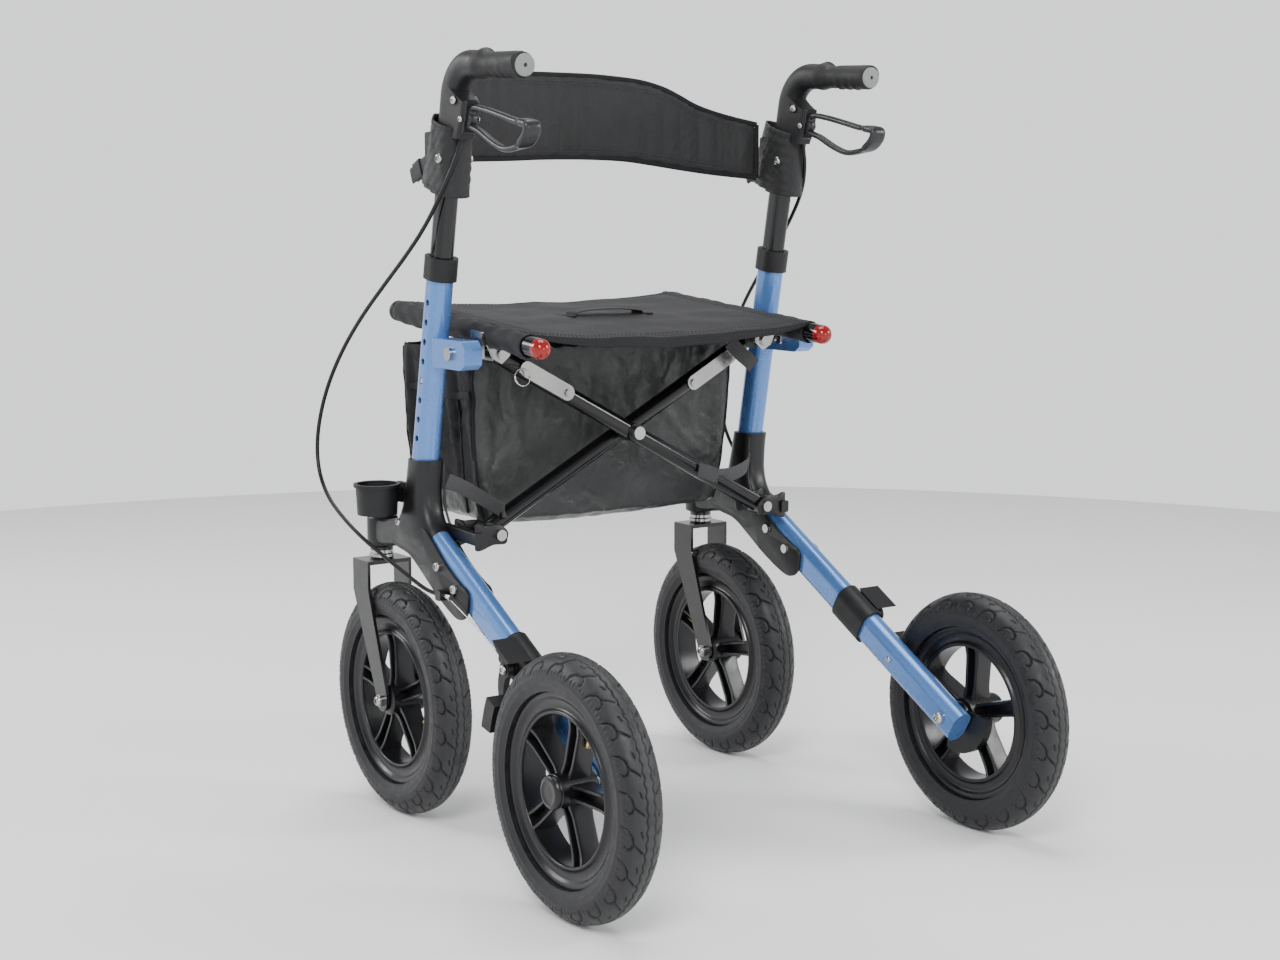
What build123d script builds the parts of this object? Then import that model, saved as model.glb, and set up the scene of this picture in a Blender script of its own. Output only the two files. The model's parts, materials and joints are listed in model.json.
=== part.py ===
from build123d import *
import os
from math import cos, pi, radians, sin, tan

# Folding rollator walker. Millimetres, +X the user's right, +Y the walking direction, +Z up.
# The origin is on the floor, midway between the four wheels.

os.makedirs("parts", exist_ok=True)

# ---- driving dimensions -------------------------------------------------------------------
wheel_radius = 152.5
tyre_section = 26.5
tyre_wall = 5.0
wheel_half_base = 240.6
rear_wheel_x = 306.0
caster_x = 261.0
stem_y = 293.6
frame_x = 259.3

post_lean = 10.7
post_ref_y = 128.3
post_ref_z = 719.3
post_wide = 30.0
post_deep = 38.0
post_wall = 2.0
post_foot_z = 396.0
post_top_z = 722.0
hole_pitch = 25.0
hole_radius = 4.0
button_z = 576.0
holes_above = 4
holes_below = 3

leg_slope = 29.35
leg_thick = 28.0
leg_deep = 44.0
leg_length = 462.0
leg_wall = 2.0

cross_angle = 28.5
cross_centre_z = 500.0
lower_pivot_x = 210.0
upper_pivot_x = 205.0
cross_a_y = 91.0
cross_b_y = 113.7
cross_radius = 11.0
cross_wall = 1.8
eye_radius = 12.0
eye_half = 11.2
lug_rear = (75.0, 79.5)
lug_front = (125.2, 129.7)
pin_radius = 4.0
running = 0.05

rail_x = 216.4
rail_radius = 12.5
rail_rear_y = -28.0
rail_front_y = 318.0
rail_tilt = 4.6
rail_ref_y = 90.0
rail_ref_z = 635.0

handle_wide = 25.2
handle_deep = 33.2
handle_foot_z = 520.0
elbow_wide = 31.0
elbow_deep = 37.0
elbow_foot_z = 893.0
grip_start_y = 28.0
grip_end_y = -72.0
grip_end_z = 954.0
grip_slope = 3.1
grip_radius = 15.5
bend_radius = 45.0

lever_pivot = (52.0, 896.0)
lever_half = 5.5
catch_pin = (87.0, 614.0)
bracket_bolts = ((69.5, 325.1), (110.6, 347.5))
button_radius = 3.6

seat_half = 201.5
seat_sag = 14.0
seat_thick = 3.5
bag_wall = 3.0

cup_x = 304.0
cup_y = 222.0

rim_outer = 112.5
rim_inner = 85.0
rim_half = 18.0
spoke_count = 5
stem_radius = 8.0
axle_radius = 5.0

shoe_inner = wheel_radius + 3.2
shoe_outer = shoe_inner + 20
shoe_angles = (12.0, 25.0)
shoe_x = (288.0, 324.0)
clamp_s = 200.0
clamp_n = 2.0

cable_radius = 2.6
cable_stop = (93.0, 315.0)
cable_route = [
    (262.5, 68.5, 881.9), (264, 68.5, 866), (271, 73, 844), (279, 88, 810), (284, 122, 768),
    (290, 162, 731), (298, 208, 692), (307, 254, 650), (316, 294, 603), (324, 324, 551),
    (330, 338, 497), (334, 330, 452), (336, 300, 418), (334, 258, 394), (328, 214, 372),
    (317, 172, 352), (303, 139, 332), (288.5, 115, 315), (283.3, 93, 315),
]

lower_pivot_z = cross_centre_z - lower_pivot_x * tan(radians(cross_angle))
upper_pivot_z = cross_centre_z + upper_pivot_x * tan(radians(cross_angle))
lower_arm = lower_pivot_x / cos(radians(cross_angle))
upper_arm = upper_pivot_x / cos(radians(cross_angle))
leg_angle = radians(leg_slope)
brake_pivot = (-wheel_half_base + clamp_s * cos(leg_angle) - clamp_n * sin(leg_angle),
               wheel_radius + clamp_s * sin(leg_angle) + clamp_n * cos(leg_angle))


# ---- helpers ------------------------------------------------------------------------------
def oval(wide, deep):
    """A slot shape: wide along local X, deep along local Y, with full round ends."""
    if deep > wide:
        return SlotOverall(deep, wide, rotation=90)
    return SlotOverall(wide, deep)


def oval_bar(wide, deep, length):
    return extrude(oval(wide, deep), length)


def post_y(z):
    return post_ref_y - (z - post_ref_z) * tan(radians(post_lean))


def on_post(z, dx=0.0):
    """A place on the right post's axis at height z, its local Z pointing up along the post."""
    return Location((frame_x + dx, post_y(z), z), (post_lean, 0, 0))


def post_length(low, high):
    return (high - low) / cos(radians(post_lean))


def on_leg(s, n=0.0, x=frame_x):
    """A place s along the rear leg from the wheel axle and n above its axis.

    Local Z runs forward and up along the leg, and local Y points down across it.
    """
    y = -wheel_half_base + s * cos(leg_angle) - n * sin(leg_angle)
    z = wheel_radius + s * sin(leg_angle) + n * cos(leg_angle)
    return Location((x, y, z), (leg_slope - 90, 0, 0))


def rail_z(y):
    return rail_ref_z + (y - rail_ref_y) * tan(radians(rail_tilt))


def rod_x(y, z, x_from, x_to, radius):
    """A round bar along X."""
    place = Location((x_from, y, z), (0, 90, 0))
    return place * extrude(Circle(radius), x_to - x_from)


def rod_y(x, z, y_from, y_to, radius):
    """A round bar along Y."""
    place = Location((x, y_from, z), (-90, 0, 0))
    return place * extrude(Circle(radius), y_to - y_from)


def rod_z(x, y, z_from, z_to, radius):
    """A round bar along Z."""
    return Location((x, y, z_from)) * extrude(Circle(radius), z_to - z_from)


def side_plate(points, x_from, x_to, corner=0.0):
    """A plate whose outline is given as (y, z) corners, reaching from x_from to x_to."""
    outline = make_face(Polyline(points, close=True))
    if corner:
        outline = fillet(outline.vertices(), corner)
    plane = Plane(origin=(x_from, 0, 0), x_dir=(0, 1, 0), z_dir=(1, 0, 0))
    return plane * extrude(outline, x_to - x_from)


def front_plate(points, y_from, y_to, corner=0.0):
    """A plate whose outline is given as (x, z) corners, reaching from y_from to y_to."""
    outline = make_face(Polyline(points, close=True))
    if corner:
        outline = fillet(outline.vertices(), corner)
    plane = Plane(origin=(0, y_from, 0), x_dir=(-1, 0, 0), z_dir=(0, 1, 0))
    flipped = mirror(outline, Plane.YZ)
    return plane * extrude(flipped, y_to - y_from)


def wheel_place(x, y):
    """The wheel's own frame: local Z along the axle (world +X), local X forward (world +Y)."""
    return Plane(origin=(x, y, wheel_radius), x_dir=(0, 1, 0), z_dir=(1, 0, 0))


# ---- side frame ---------------------------------------------------------------------------
def make_post():
    length = post_length(post_foot_z, post_top_z)
    tube = oval_bar(post_wide, post_deep, length)
    tube -= oval_bar(post_wide - 2 * post_wall, post_deep - 2 * post_wall, length)
    post = on_post(post_foot_z) * tube
    rise = hole_pitch * cos(radians(post_lean))
    for step in range(-holes_below, holes_above + 1):
        z = button_z + step * rise
        post -= rod_x(post_y(z), z, frame_x + 6, frame_x + 20, hole_radius)
    ear = side_plate([(52, 602), (62, 595), (132, 595), (132, 631), (60, 631), (52, 622)],
                     247, 271.5, corner=5)
    ear -= on_post(590) * oval_bar(post_wide, post_deep, 60)
    ear -= rod_x(*catch_pin, 240, 280, 5.05)
    return post + ear


def make_collar():
    body = on_post(703) * oval_bar(38, 46, post_length(703, 731))
    body -= on_post(700) * oval_bar(post_wide, post_deep, post_length(700, post_top_z))
    body -= on_post(715) * oval_bar(handle_wide + 0.8, handle_deep + 0.8, 30)
    return body


def make_leg():
    tube = oval_bar(leg_thick, leg_deep, leg_length)
    tube -= oval_bar(leg_thick - 2 * leg_wall, leg_deep - 2 * leg_wall, leg_length)
    plug = oval_bar(leg_thick - 2 * leg_wall, leg_deep - 2 * leg_wall, 30)
    leg = on_leg(-22) * (tube + plug)
    return leg - rod_x(-wheel_half_base, wheel_radius, 230, 290, axle_radius)


def make_bracket():
    outline = [(152, 440), (196, 440), (206, 396), (262, 390), (312, 388), (312, 350),
               (262, 349), (231, 357), (183, 350), (150, 330), (118, 312), (66, 300),
               (42, 308), (38, 334), (52, 356), (112, 392)]
    body = side_plate(outline, frame_x - 19, frame_x + 19, corner=5)
    socket = on_post(405) * extrude(oval(38, 46), post_length(405, 474), taper=0.6)
    housing = rod_z(caster_x, stem_y, 348, 388, 20)
    body = body + socket + housing
    body -= on_post(post_foot_z) * oval_bar(post_wide, post_deep, 120)
    body -= on_leg(100) * oval_bar(leg_thick, leg_deep, leg_length - 22 - 100)
    body -= rod_z(caster_x, stem_y, 340, 380, stem_radius + running)
    lug_outline = [(198, 374), (222, 374), (241, 366), (241, 404), (222, 399), (198, 398)]
    for y_from, y_to in (lug_rear, lug_front):
        lug = front_plate(lug_outline, y_from, y_to, corner=4)
        body += lug - rod_y(lower_pivot_x, lower_pivot_z, y_from - 1, y_to + 1, pin_radius)
    for y, z in bracket_bolts:
        body -= rod_x(y, z, 235, 285, 3)
    y, z = cable_stop
    return body + Location((frame_x + 24, y - 6, z)) * Box(12, 12, 12)


def make_frame_bolts():
    """Zinc bolts of one side frame, the seat-rail catch pin and the lower hinge bolt."""
    parts = []
    for y, z in bracket_bolts:
        bolt = rod_x(y, z, 238, frame_x - 14.0, 3)
        bolt += rod_x(y, z, 237, frame_x - 19.0, 6)
        parts.append(bolt)
        bolt = rod_x(y, z, frame_x + 14.0, 281, 3)
        bolt += rod_x(y, z, frame_x + 19.0, 281.5, 6)
        parts.append(bolt)
    catch = rod_x(*catch_pin, 229.5, 274, 5)
    catch += rod_x(*catch_pin, 240, 247, 8) + rod_x(*catch_pin, 271.5, 276, 8)
    parts.append(catch)
    hinge = rod_y(lower_pivot_x, lower_pivot_z, 71, 133, pin_radius)
    hinge += rod_y(lower_pivot_x, lower_pivot_z, lug_rear[0] - 5, lug_rear[0], 7)
    hinge += rod_y(lower_pivot_x, lower_pivot_z, lug_front[1], lug_front[1] + 5, 7)
    parts.append(hinge)
    return Compound(parts)


def make_leg_clamp():
    ring = on_leg(178) * oval_bar(leg_thick + 7, leg_deep + 7, 58)
    ring -= on_leg(170) * oval_bar(leg_thick, leg_deep, 80)
    boss = rod_x(*brake_pivot, frame_x + 16.5, 281, 9)
    pin = rod_x(*brake_pivot, 281, 293, pin_radius)
    wing_root = [on_leg(s, n).position for s, n in ((184, 25.6), (228, 25.6), (214, 21.0), (190, 21.0))]
    wing = side_plate([(p.Y, p.Z) for p in wing_root], frame_x + 8, 300)
    return ring + boss + pin + wing


def make_brake_shoe():
    """A curved block in front of the tyre's tread on a C-shaped arm that turns about the clamp's pin."""
    def rim_point(radius, angle):
        a = radians(angle)
        return (-wheel_half_base + radius * cos(a), wheel_radius + radius * sin(a))

    low, high = shoe_angles
    mid = (low + high) / 2
    edges = [
        ThreePointArc(rim_point(shoe_inner, low), rim_point(shoe_inner, mid), rim_point(shoe_inner, high)),
        Line(rim_point(shoe_inner, high), rim_point(shoe_outer, high)),
        ThreePointArc(rim_point(shoe_outer, high), rim_point(shoe_outer, mid), rim_point(shoe_outer, low)),
        Line(rim_point(shoe_outer, low), rim_point(shoe_inner, low)),
    ]
    plane = Plane(origin=(shoe_x[0], 0, 0), x_dir=(0, 1, 0), z_dir=(1, 0, 0))
    block = plane * extrude(make_face(edges), shoe_x[1] - shoe_x[0])
    py, pz = brake_pivot
    outer_low = rim_point(shoe_outer + 4, low + 2)
    outer_bow = rim_point(shoe_outer + 26, mid + 3)
    inner_bow = rim_point(shoe_outer + 14, mid + 4)
    inner_low = rim_point(shoe_outer - 6, low + 2)
    arm_edges = [
        ThreePointArc((py + 9, pz), outer_bow, outer_low),
        Line(outer_low, inner_low),
        ThreePointArc(inner_low, inner_bow, (py - 5, pz - 7)),
        Line((py - 5, pz - 7), (py + 9, pz)),
    ]
    arm_plane = Plane(origin=(283.5, 0, 0), x_dir=(0, 1, 0), z_dir=(1, 0, 0))
    arm = arm_plane * extrude(make_face(arm_edges), 8)
    shoe = block + arm + rod_x(py, pz, 283.5, 291.5, 10)
    return shoe - rod_x(py, pz, 280, 295, pin_radius + running)


def make_rear_axle():
    axle = rod_x(-wheel_half_base, wheel_radius, 241, 331.7, axle_radius - running)
    axle += rod_x(-wheel_half_base, wheel_radius, 240, frame_x - 14, 8)
    axle += rod_x(-wheel_half_base, wheel_radius, frame_x + 14, 282, 9)
    return axle


def make_kerb_step():
    """A curved tread plate on the axle spacer, pointing down and back, for tipping the walker."""
    ring = rod_x(-wheel_half_base, wheel_radius, 275.5, 279.5, 50)
    ring -= rod_x(-wheel_half_base, wheel_radius, 275, 280, 9 + running)
    keep = side_plate([(-wheel_half_base + 12, wheel_radius + 10), (-wheel_half_base - 60, wheel_radius + 2),
                       (-wheel_half_base - 60, wheel_radius - 60), (-wheel_half_base + 22, wheel_radius - 60)],
                      270, 292)
    tread = rod_x(-wheel_half_base, wheel_radius, 275.5, 287, 50)
    tread -= rod_x(-wheel_half_base, wheel_radius, 275, 288, 46)
    eye = rod_x(-wheel_half_base, wheel_radius, 275.5, 279.5, 16)
    eye -= rod_x(-wheel_half_base, wheel_radius, 275, 280, 9 + running)
    return (ring & keep) + (tread & keep) + eye


def make_cup_holder():
    x, y = cup_x, cup_y
    cup = Location((x, y, 402)) * extrude(Circle(25.5), 38, taper=-3)
    cup -= Location((x, y, 404.5)) * extrude(Circle(23.2), 40, taper=-3)
    rim = rod_z(x, y, 437.5, 441.5, 30) - rod_z(x, y, 437, 442, 25)
    clip = Location((276.5 - 8, 214, 428)) * Box(7, 34, 26)
    clip -= on_post(405) * extrude(oval(38.2, 46.2), post_length(405, 474), taper=0.6)
    arm = Location(((x - 22 + 272) / 2, 222, 425)) * Box(abs(x - 22 - 272) + 6, 9, 18)
    return cup + rim + arm + clip


# ---- folding cross and seat rails ---------------------------------------------------------
def make_cross_tube(y, sense):
    """One tube of the cross. sense +1 rises to the user's right, -1 to the user's left."""
    def at(distance):
        a = radians(cross_angle)
        return (sense * distance * cos(a), cross_centre_z + distance * sin(a))

    low, high = at(-lower_arm), at(upper_arm)
    section = Plane(origin=(low[0], y, low[1]), z_dir=(high[0] - low[0], 0, high[1] - low[1]))
    span = lower_arm + upper_arm
    tube = section * (extrude(Circle(cross_radius), span) - extrude(Circle(cross_radius - cross_wall), span))
    pins = [at(distance) for distance in (-lower_arm, 0.0, upper_arm)]
    for x, z in pins:
        tube += rod_y(x, z, y - eye_half, y + eye_half, eye_radius)
    for x, z in pins:
        tube -= rod_y(x, z, y - 20, y + 20, pin_radius + running)
    return tube


def make_link_plate(y, sense):
    """A flat zinc bar with a rivet on the rear of a cross tube, along its upper half."""
    a = radians(cross_angle)
    start, end = 112.0, 200.0
    centre = (start + end) / 2
    bar = Location((0, 0, 0), (90, 0, 0)) * extrude(SlotOverall(end - start, 20), 1.5, both=True)
    spin = Location((sense * centre * cos(a), y - cross_radius - 1.5, cross_centre_z + centre * sin(a)),
                    (0, -sense * cross_angle, 0))
    bar = spin * bar
    x, z = sense * start * cos(a), cross_centre_z + start * sin(a)
    x += sense * 9 * cos(a)
    z += 9 * sin(a)
    return bar + rod_y(x, z, y - cross_radius - 6, y - cross_radius - 3, 5)


def make_centre_bolt():
    rear, front = cross_a_y - eye_half - 0.2, cross_b_y + eye_half
    bolt = rod_y(0, cross_centre_z, rear - 6, front + 6, pin_radius)
    bolt += rod_y(0, cross_centre_z, rear - 8, rear, 8.5)
    bolt += rod_y(0, cross_centre_z, front, front + 7, 8)
    return bolt


def make_rail():
    length = (rail_front_y - rail_rear_y) / cos(radians(rail_tilt))
    place = Location((rail_x, rail_rear_y, rail_z(rail_rear_y)), (rail_tilt - 90, 0, 0))
    tube = extrude(Circle(rail_radius), length) - extrude(Circle(rail_radius - 1.8), length)
    return place * tube


def make_rail_caps():
    """A round red cap on the rail's rear end."""
    y = rail_rear_y
    place = Location((rail_x, y, rail_z(y)), (rail_tilt + 90, 0, 0))
    neck = extrude(Circle(rail_radius), 5)
    dome = Location((0, 0, 5)) * Sphere(rail_radius)
    dome &= Location((0, 0, 25)) * Box(60, 60, 40)
    stub = Location((0, 0, -12)) * extrude(Circle(rail_radius - 1.8), 12)
    return place * (neck + dome + stub)


def make_rail_plates():
    """Two cheeks under the rail that hold the cross tube's upper end, its bolt, and the catch hook."""
    rail = Location((rail_x, rail_rear_y, rail_z(rail_rear_y)), (rail_tilt - 90, 0, 0)) \
        * extrude(Circle(rail_radius), 400)
    parts = []
    for y_from, y_to in (lug_rear, lug_front):
        z = rail_z((y_from + y_to) / 2)
        cheek = front_plate([(193, upper_pivot_z - 2), (205, upper_pivot_z - 12), (216, upper_pivot_z - 6),
                             (226, z - 9), (226, z - 5), (207, z - 5), (194, upper_pivot_z + 8)],
                            y_from, y_to, corner=0.5)
        parts.append(cheek - rail - rod_y(upper_pivot_x, upper_pivot_z, y_from - 1, y_to + 1, pin_radius))
    hook = side_plate([(73, 640), (73, 606), (101, 606), (101, 642)], 231, 234.5, corner=3)
    hook -= rod_x(*catch_pin, 225, 240, 5.6)
    hook -= side_plate([(81.4, 600), (92.6, 600), (92.6, 614), (81.4, 614)], 225, 240)
    bridge = side_plate([(76, 629), (98, 631), (98, 640), (76, 638)], 226, 231.5)
    parts.append(hook + (bridge - rail))
    bolt = rod_y(upper_pivot_x, upper_pivot_z, 72, 132, pin_radius)
    bolt += rod_y(upper_pivot_x, upper_pivot_z, lug_rear[0] - 4, lug_rear[0], 6.5)
    bolt += rod_y(upper_pivot_x, upper_pivot_z, lug_front[1], lug_front[1] + 4.5, 6.5)
    parts.append(bolt)
    return Compound(parts)


# ---- soft goods, as plain closed solids ---------------------------------------------------
def make_seat():
    """The seat cloth between the rails, sagging a little in the middle."""
    left, right = (-seat_half, 0), (seat_half, 0)
    edges = [
        ThreePointArc(left, (0, -seat_sag), right),
        Line(right, (seat_half, -seat_thick)),
        ThreePointArc((seat_half, -seat_thick), (0, -seat_sag - seat_thick), (-seat_half, -seat_thick)),
        Line((-seat_half, -seat_thick), left),
    ]
    start_y = -12.0
    length = 322.0
    tilt = radians(rail_tilt)
    plane = Plane(origin=(0, start_y, rail_z(start_y) + 11), x_dir=(1, 0, 0), z_dir=(0, cos(tilt), sin(tilt)))
    outline = mirror(make_face(edges), Plane.XZ)
    return plane * extrude(outline, length)


def make_bag():
    """An open-topped bag under the seat, narrower at the bottom."""
    outer = front_plate([(-198, 606), (-210, 590), (-206, 430), (-180, 384), (180, 384), (206, 430), (210, 590),
                         (198, 606)], 142, 344, corner=8)
    inner = front_plate([(-190, 640), (-206, 590), (-202, 432), (-177, 388), (177, 388), (202, 432), (206, 590),
                         (190, 640)], 142 + bag_wall, 344 - bag_wall, corner=6)
    return outer - inner


def make_backrest():
    """A band that bows forward between the two handles and is tallest in the middle."""
    end_x, end_y, mid_y, thick = 236.0, 132.0, 200.0, 11.0
    edges = [
        ThreePointArc((-end_x, end_y), (0, mid_y - thick / 2), (end_x, end_y)),
        Line((end_x, end_y), (end_x, end_y + thick)),
        ThreePointArc((end_x, end_y + thick), (0, mid_y + thick / 2), (-end_x, end_y + thick)),
        Line((-end_x, end_y + thick), (-end_x, end_y)),
    ]
    band = Location((0, 0, 815)) * extrude(make_face(edges), 160)
    top = Spline((-end_x, 905), (-150, 951), (0, 961), (150, 951), (end_x, 905))
    bottom = Spline((end_x, 824), (150, 845), (0, 851), (-150, 845), (-end_x, 824))
    outline = make_face([top, Line((end_x, 905), (end_x, 824)), bottom, Line((-end_x, 824), (-end_x, 905))])
    plane = Plane(origin=(0, 90, 0), x_dir=(-1, 0, 0), z_dir=(0, 1, 0))
    return band & (plane * extrude(outline, 140))


# ---- handles ------------------------------------------------------------------------------
def grip_z(y):
    return grip_end_z + (y - grip_end_y) * tan(radians(grip_slope))


def grip_place(y):
    """A place on the grip's axis, its local Z pointing back along the grip."""
    return Location((frame_x, y, grip_z(y)), (90 + grip_slope, 0, 0))


def handle_corner():
    """Where the post's axis meets the grip's axis, in the side view."""
    slope = tan(radians(post_lean))
    rise = tan(radians(grip_slope))
    y = (post_ref_y - (grip_end_z - grip_end_y * rise - post_ref_z) * slope) / (1 + rise * slope)
    return y, grip_z(y)


def make_handle_tube():
    length = post_length(handle_foot_z, elbow_foot_z + 20)
    tube = oval_bar(handle_wide, handle_deep, length)
    tube -= oval_bar(handle_wide - 3.2, handle_deep - 3.2, length)
    tube = on_post(handle_foot_z) * tube
    return tube - rod_x(post_y(button_z), button_z, frame_x + 5, frame_x + 20, button_radius + 0.1)


def make_snap_button():
    """A round button that ends flush with the handle tube, on a flanged foot inside it."""
    y, z = post_y(button_z), button_z
    face = frame_x + handle_wide / 2
    pin = rod_x(y, z, face - 6, face, button_radius)
    foot = rod_x(y, z, face - 7.5, face - 4.5, 6)
    return pin + foot


def make_elbow():
    corner_y, corner_z = handle_corner()
    start = (frame_x, post_y(elbow_foot_z), elbow_foot_z)
    corner = (frame_x, corner_y, corner_z)
    end = (frame_x, grip_start_y, grip_z(grip_start_y))
    path = FilletPolyline(start, corner, end, radius=bend_radius)
    section = Plane(on_post(elbow_foot_z)) * oval(elbow_wide, elbow_deep)
    body = sweep(section, path=path)
    body -= on_post(elbow_foot_z - 1) * oval_bar(handle_wide, handle_deep, 22)
    housing = side_plate([(74, 884), (50, 879), (44, 884), (41, 932), (48, 938), (84, 940)],
                         frame_x - 11, frame_x + 11, corner=3)
    housing -= on_post(elbow_foot_z - 20) * oval_bar(handle_wide, handle_deep, 43)
    slot = side_plate([(36, 870), (66, 870), (66, 926), (36, 926)], frame_x - 6, frame_x + 6)
    pin = rod_x(lever_pivot[0], lever_pivot[1], frame_x - 11.5, frame_x + 11.5, 3)
    return body + (housing - slot) + pin


def make_lever():
    """A D-shaped loop: an upper arm, a broad pad at the tip, and a lower arm."""
    outer = [(60, 912), (46, 913), (-40, 900), (-92, 889), (-88, 870), (-62, 860), (-18, 857), (44, 882), (60, 888)]
    inner = [(38, 905), (-36, 893), (-64, 886), (-60, 868), (-18, 864), (36, 887)]
    loop = side_plate(outer, frame_x - lever_half, frame_x + lever_half, corner=4)
    loop -= side_plate(inner, frame_x - 7, frame_x + 7, corner=3)
    pad = side_plate([(-62, 894), (-92, 890), (-88, 869), (-60, 862)], frame_x - 11, frame_x + 11, corner=3)
    pad -= side_plate([(-50, 888), (-66, 886), (-61, 868), (-50, 866)], frame_x - 15, frame_x + 15)
    lever = loop + pad
    return lever - rod_x(lever_pivot[0], lever_pivot[1], frame_x - 10, frame_x + 10, 3 + running)


def make_grip():
    length = grip_start_y - grip_end_y
    body = grip_place(grip_start_y - 0.3) * extrude(Circle(grip_radius), length / cos(radians(grip_slope)))
    ring = grip_place(grip_start_y - 0.3) * extrude(Circle(grip_radius + 2), 9)
    return body + ring


def make_backrest_clamp():
    """A moulded block round the handle tube with a nose in front that the backrest is screwed to."""
    block = on_post(808) * oval_bar(37, 45, post_length(808, 889))
    nose = side_plate([(118, 826), (140, 830), (140, 882), (108, 884)], frame_x - 14, frame_x + 14, corner=3)
    block += nose
    return block - on_post(800) * oval_bar(handle_wide, handle_deep, 120)


# ---- brake cable --------------------------------------------------------------------------
def cable_radii(points):
    """The largest arc that each corner allows: 0.45 of the shorter run over tan of half the turn."""
    radii = []
    for before, here, after in zip(points, points[1:], points[2:]):
        run_in = Vector(*here) - Vector(*before)
        run_out = Vector(*after) - Vector(*here)
        turn = radians(run_in.get_angle(run_out))
        radii.append(0.45 * min(run_in.length, run_out.length) / tan(turn / 2))
    return radii


def make_cable():
    radii = cable_radii(cable_route)
    path = FilletPolyline(*cable_route, radius=radii)
    start = Vector(*cable_route[0])
    section = Plane(origin=start, z_dir=Vector(*cable_route[1]) - start) * Circle(cable_radius)
    tube = sweep(section, path=path)
    print("cable length", round(path.length, 1), "volume ratio",
          round(tube.volume / (path.length * pi * cable_radius ** 2), 4))
    print("cable arc radii", [round(r) for r in radii])
    return tube


# ---- wheels -------------------------------------------------------------------------------
def rim_body(hub_inner, hub_outer, bore):
    """A wheel rim about local Z: a deep ring, five H-section spokes and a hub tube."""
    section = [(rim_inner, -rim_half), (rim_outer, -rim_half), (rim_outer, -rim_half + 3),
               (103, -rim_half + 6), (103, rim_half - 6), (rim_outer, rim_half - 3),
               (rim_outer, rim_half), (rim_inner, rim_half)]
    profile = make_face(Polyline([(r, 0, z) for r, z in section], close=True))
    rim = revolve(profile, Axis.Z, 360)
    for turn in range(spoke_count):
        spin = Rot(0, 0, 360 / spoke_count * turn)
        web = Location((52, 0, 0)) * Box(70, 12, 3)
        for offset in (-7, 7):
            web += Location((52, offset, 0)) * Box(70, 3, 26)
        rim += spin * web
    rim += Location((0, 0, hub_inner)) * extrude(Circle(19), hub_outer - hub_inner)
    rim -= Location((0, 0, hub_inner - 5)) * extrude(Circle(bore), hub_outer - hub_inner + 10)
    return rim


def tyre_body():
    centre = wheel_radius - tyre_section
    section = Location((centre, 0, 0), (90, 0, 0)) * Circle(tyre_section)
    tyre = revolve(section, Axis.Z, 360)
    air = Location((centre, 0, 0), (90, 0, 0)) * Circle(tyre_section - tyre_wall)
    tyre -= revolve(air, Axis.Z, 360)
    tyre -= Location((0, 0, -40)) * extrude(Circle(rim_outer), 80)
    return tyre


def make_rear_rim(phase):
    rim = rim_body(-22, 26, axle_radius)
    cap = Location((0, 0, 26)) * extrude(Circle(19), 8, taper=8)
    return wheel_place(rear_wheel_x, -wheel_half_base) * (Rot(0, 0, phase) * (rim + cap))


def make_caster_rim(phase):
    return wheel_place(caster_x, wheel_half_base) * (Rot(0, 0, phase) * rim_body(-26, 26, axle_radius))


def make_fork():
    plate = Location((caster_x, stem_y, 328.5)) * Box(64, 42, 5)
    ay, az = wheel_half_base, wheel_radius
    blade_outline = [(stem_y - 21, 331), (stem_y + 21, 331), (stem_y + 21, 290), (ay + 14.5, az + 4),
                     (ay + 14.5, az - 2), (ay - 14.5, az - 2), (ay - 14.5, az + 8), (stem_y - 21, 292)]
    fork = plate
    for x_from in (caster_x - 32.2, caster_x + 28.2):
        blade = side_plate(blade_outline, x_from, x_from + 4)
        blade += rod_x(ay, az, x_from, x_from + 4, 14.5)
        fork += blade
    stem = rod_z(caster_x, stem_y, 331, 379, stem_radius)
    collar = rod_z(caster_x, stem_y, 331, 346.5, 15)
    fork += stem + collar
    return fork - rod_x(ay, az, caster_x - 40, caster_x + 40, axle_radius)


def make_caster_axle():
    axle = rod_x(wheel_half_base, wheel_radius, caster_x - 35, caster_x + 35, axle_radius - running)
    axle += rod_x(wheel_half_base, wheel_radius, caster_x - 36.5, caster_x - 32.2, 8)
    axle += rod_x(wheel_half_base, wheel_radius, caster_x + 32.2, caster_x + 36.5, 8)
    return axle


# ---- writing the nodes --------------------------------------------------------------------
def save(node, shape):
    if isinstance(shape, ShapeList):
        shape = Compound(list(shape))
    shape.label = node
    export_step(shape, f"parts/{node}.step")


def save_pair(name, shape):
    """Write the right-hand piece and its mirror image on the left."""
    save(name + "_right", shape)
    save(name + "_left", mirror(shape, Plane.YZ))


save_pair("post", make_post())
save_pair("post_collar", make_collar())
save_pair("rear_leg", make_leg())
save_pair("lower_bracket", make_bracket())
save_pair("frame_bolts", make_frame_bolts())
save_pair("leg_clamp", make_leg_clamp())
save_pair("brake_shoe", make_brake_shoe())
save_pair("rear_axle", make_rear_axle())
save("kerb_step", make_kerb_step())
save("cup_holder", mirror(make_cup_holder(), Plane.YZ))
save("cross_tube_a", make_cross_tube(cross_a_y, -1))
save("cross_tube_b", make_cross_tube(cross_b_y, 1))
save("link_plate_a", make_link_plate(cross_a_y, -1))
save("link_plate_b", make_link_plate(cross_b_y, 1))
save("cross_pivot_bolt", make_centre_bolt())
save_pair("seat_rail", make_rail())
save_pair("rail_cap", make_rail_caps())
save_pair("rail_plates", make_rail_plates())
save("seat_cloth", make_seat())
save("shopping_bag", make_bag())
save("backrest", make_backrest())
save_pair("handle_tube", make_handle_tube())
save_pair("snap_button", make_snap_button())
save_pair("handle_elbow", make_elbow())
save_pair("brake_lever", make_lever())
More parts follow.
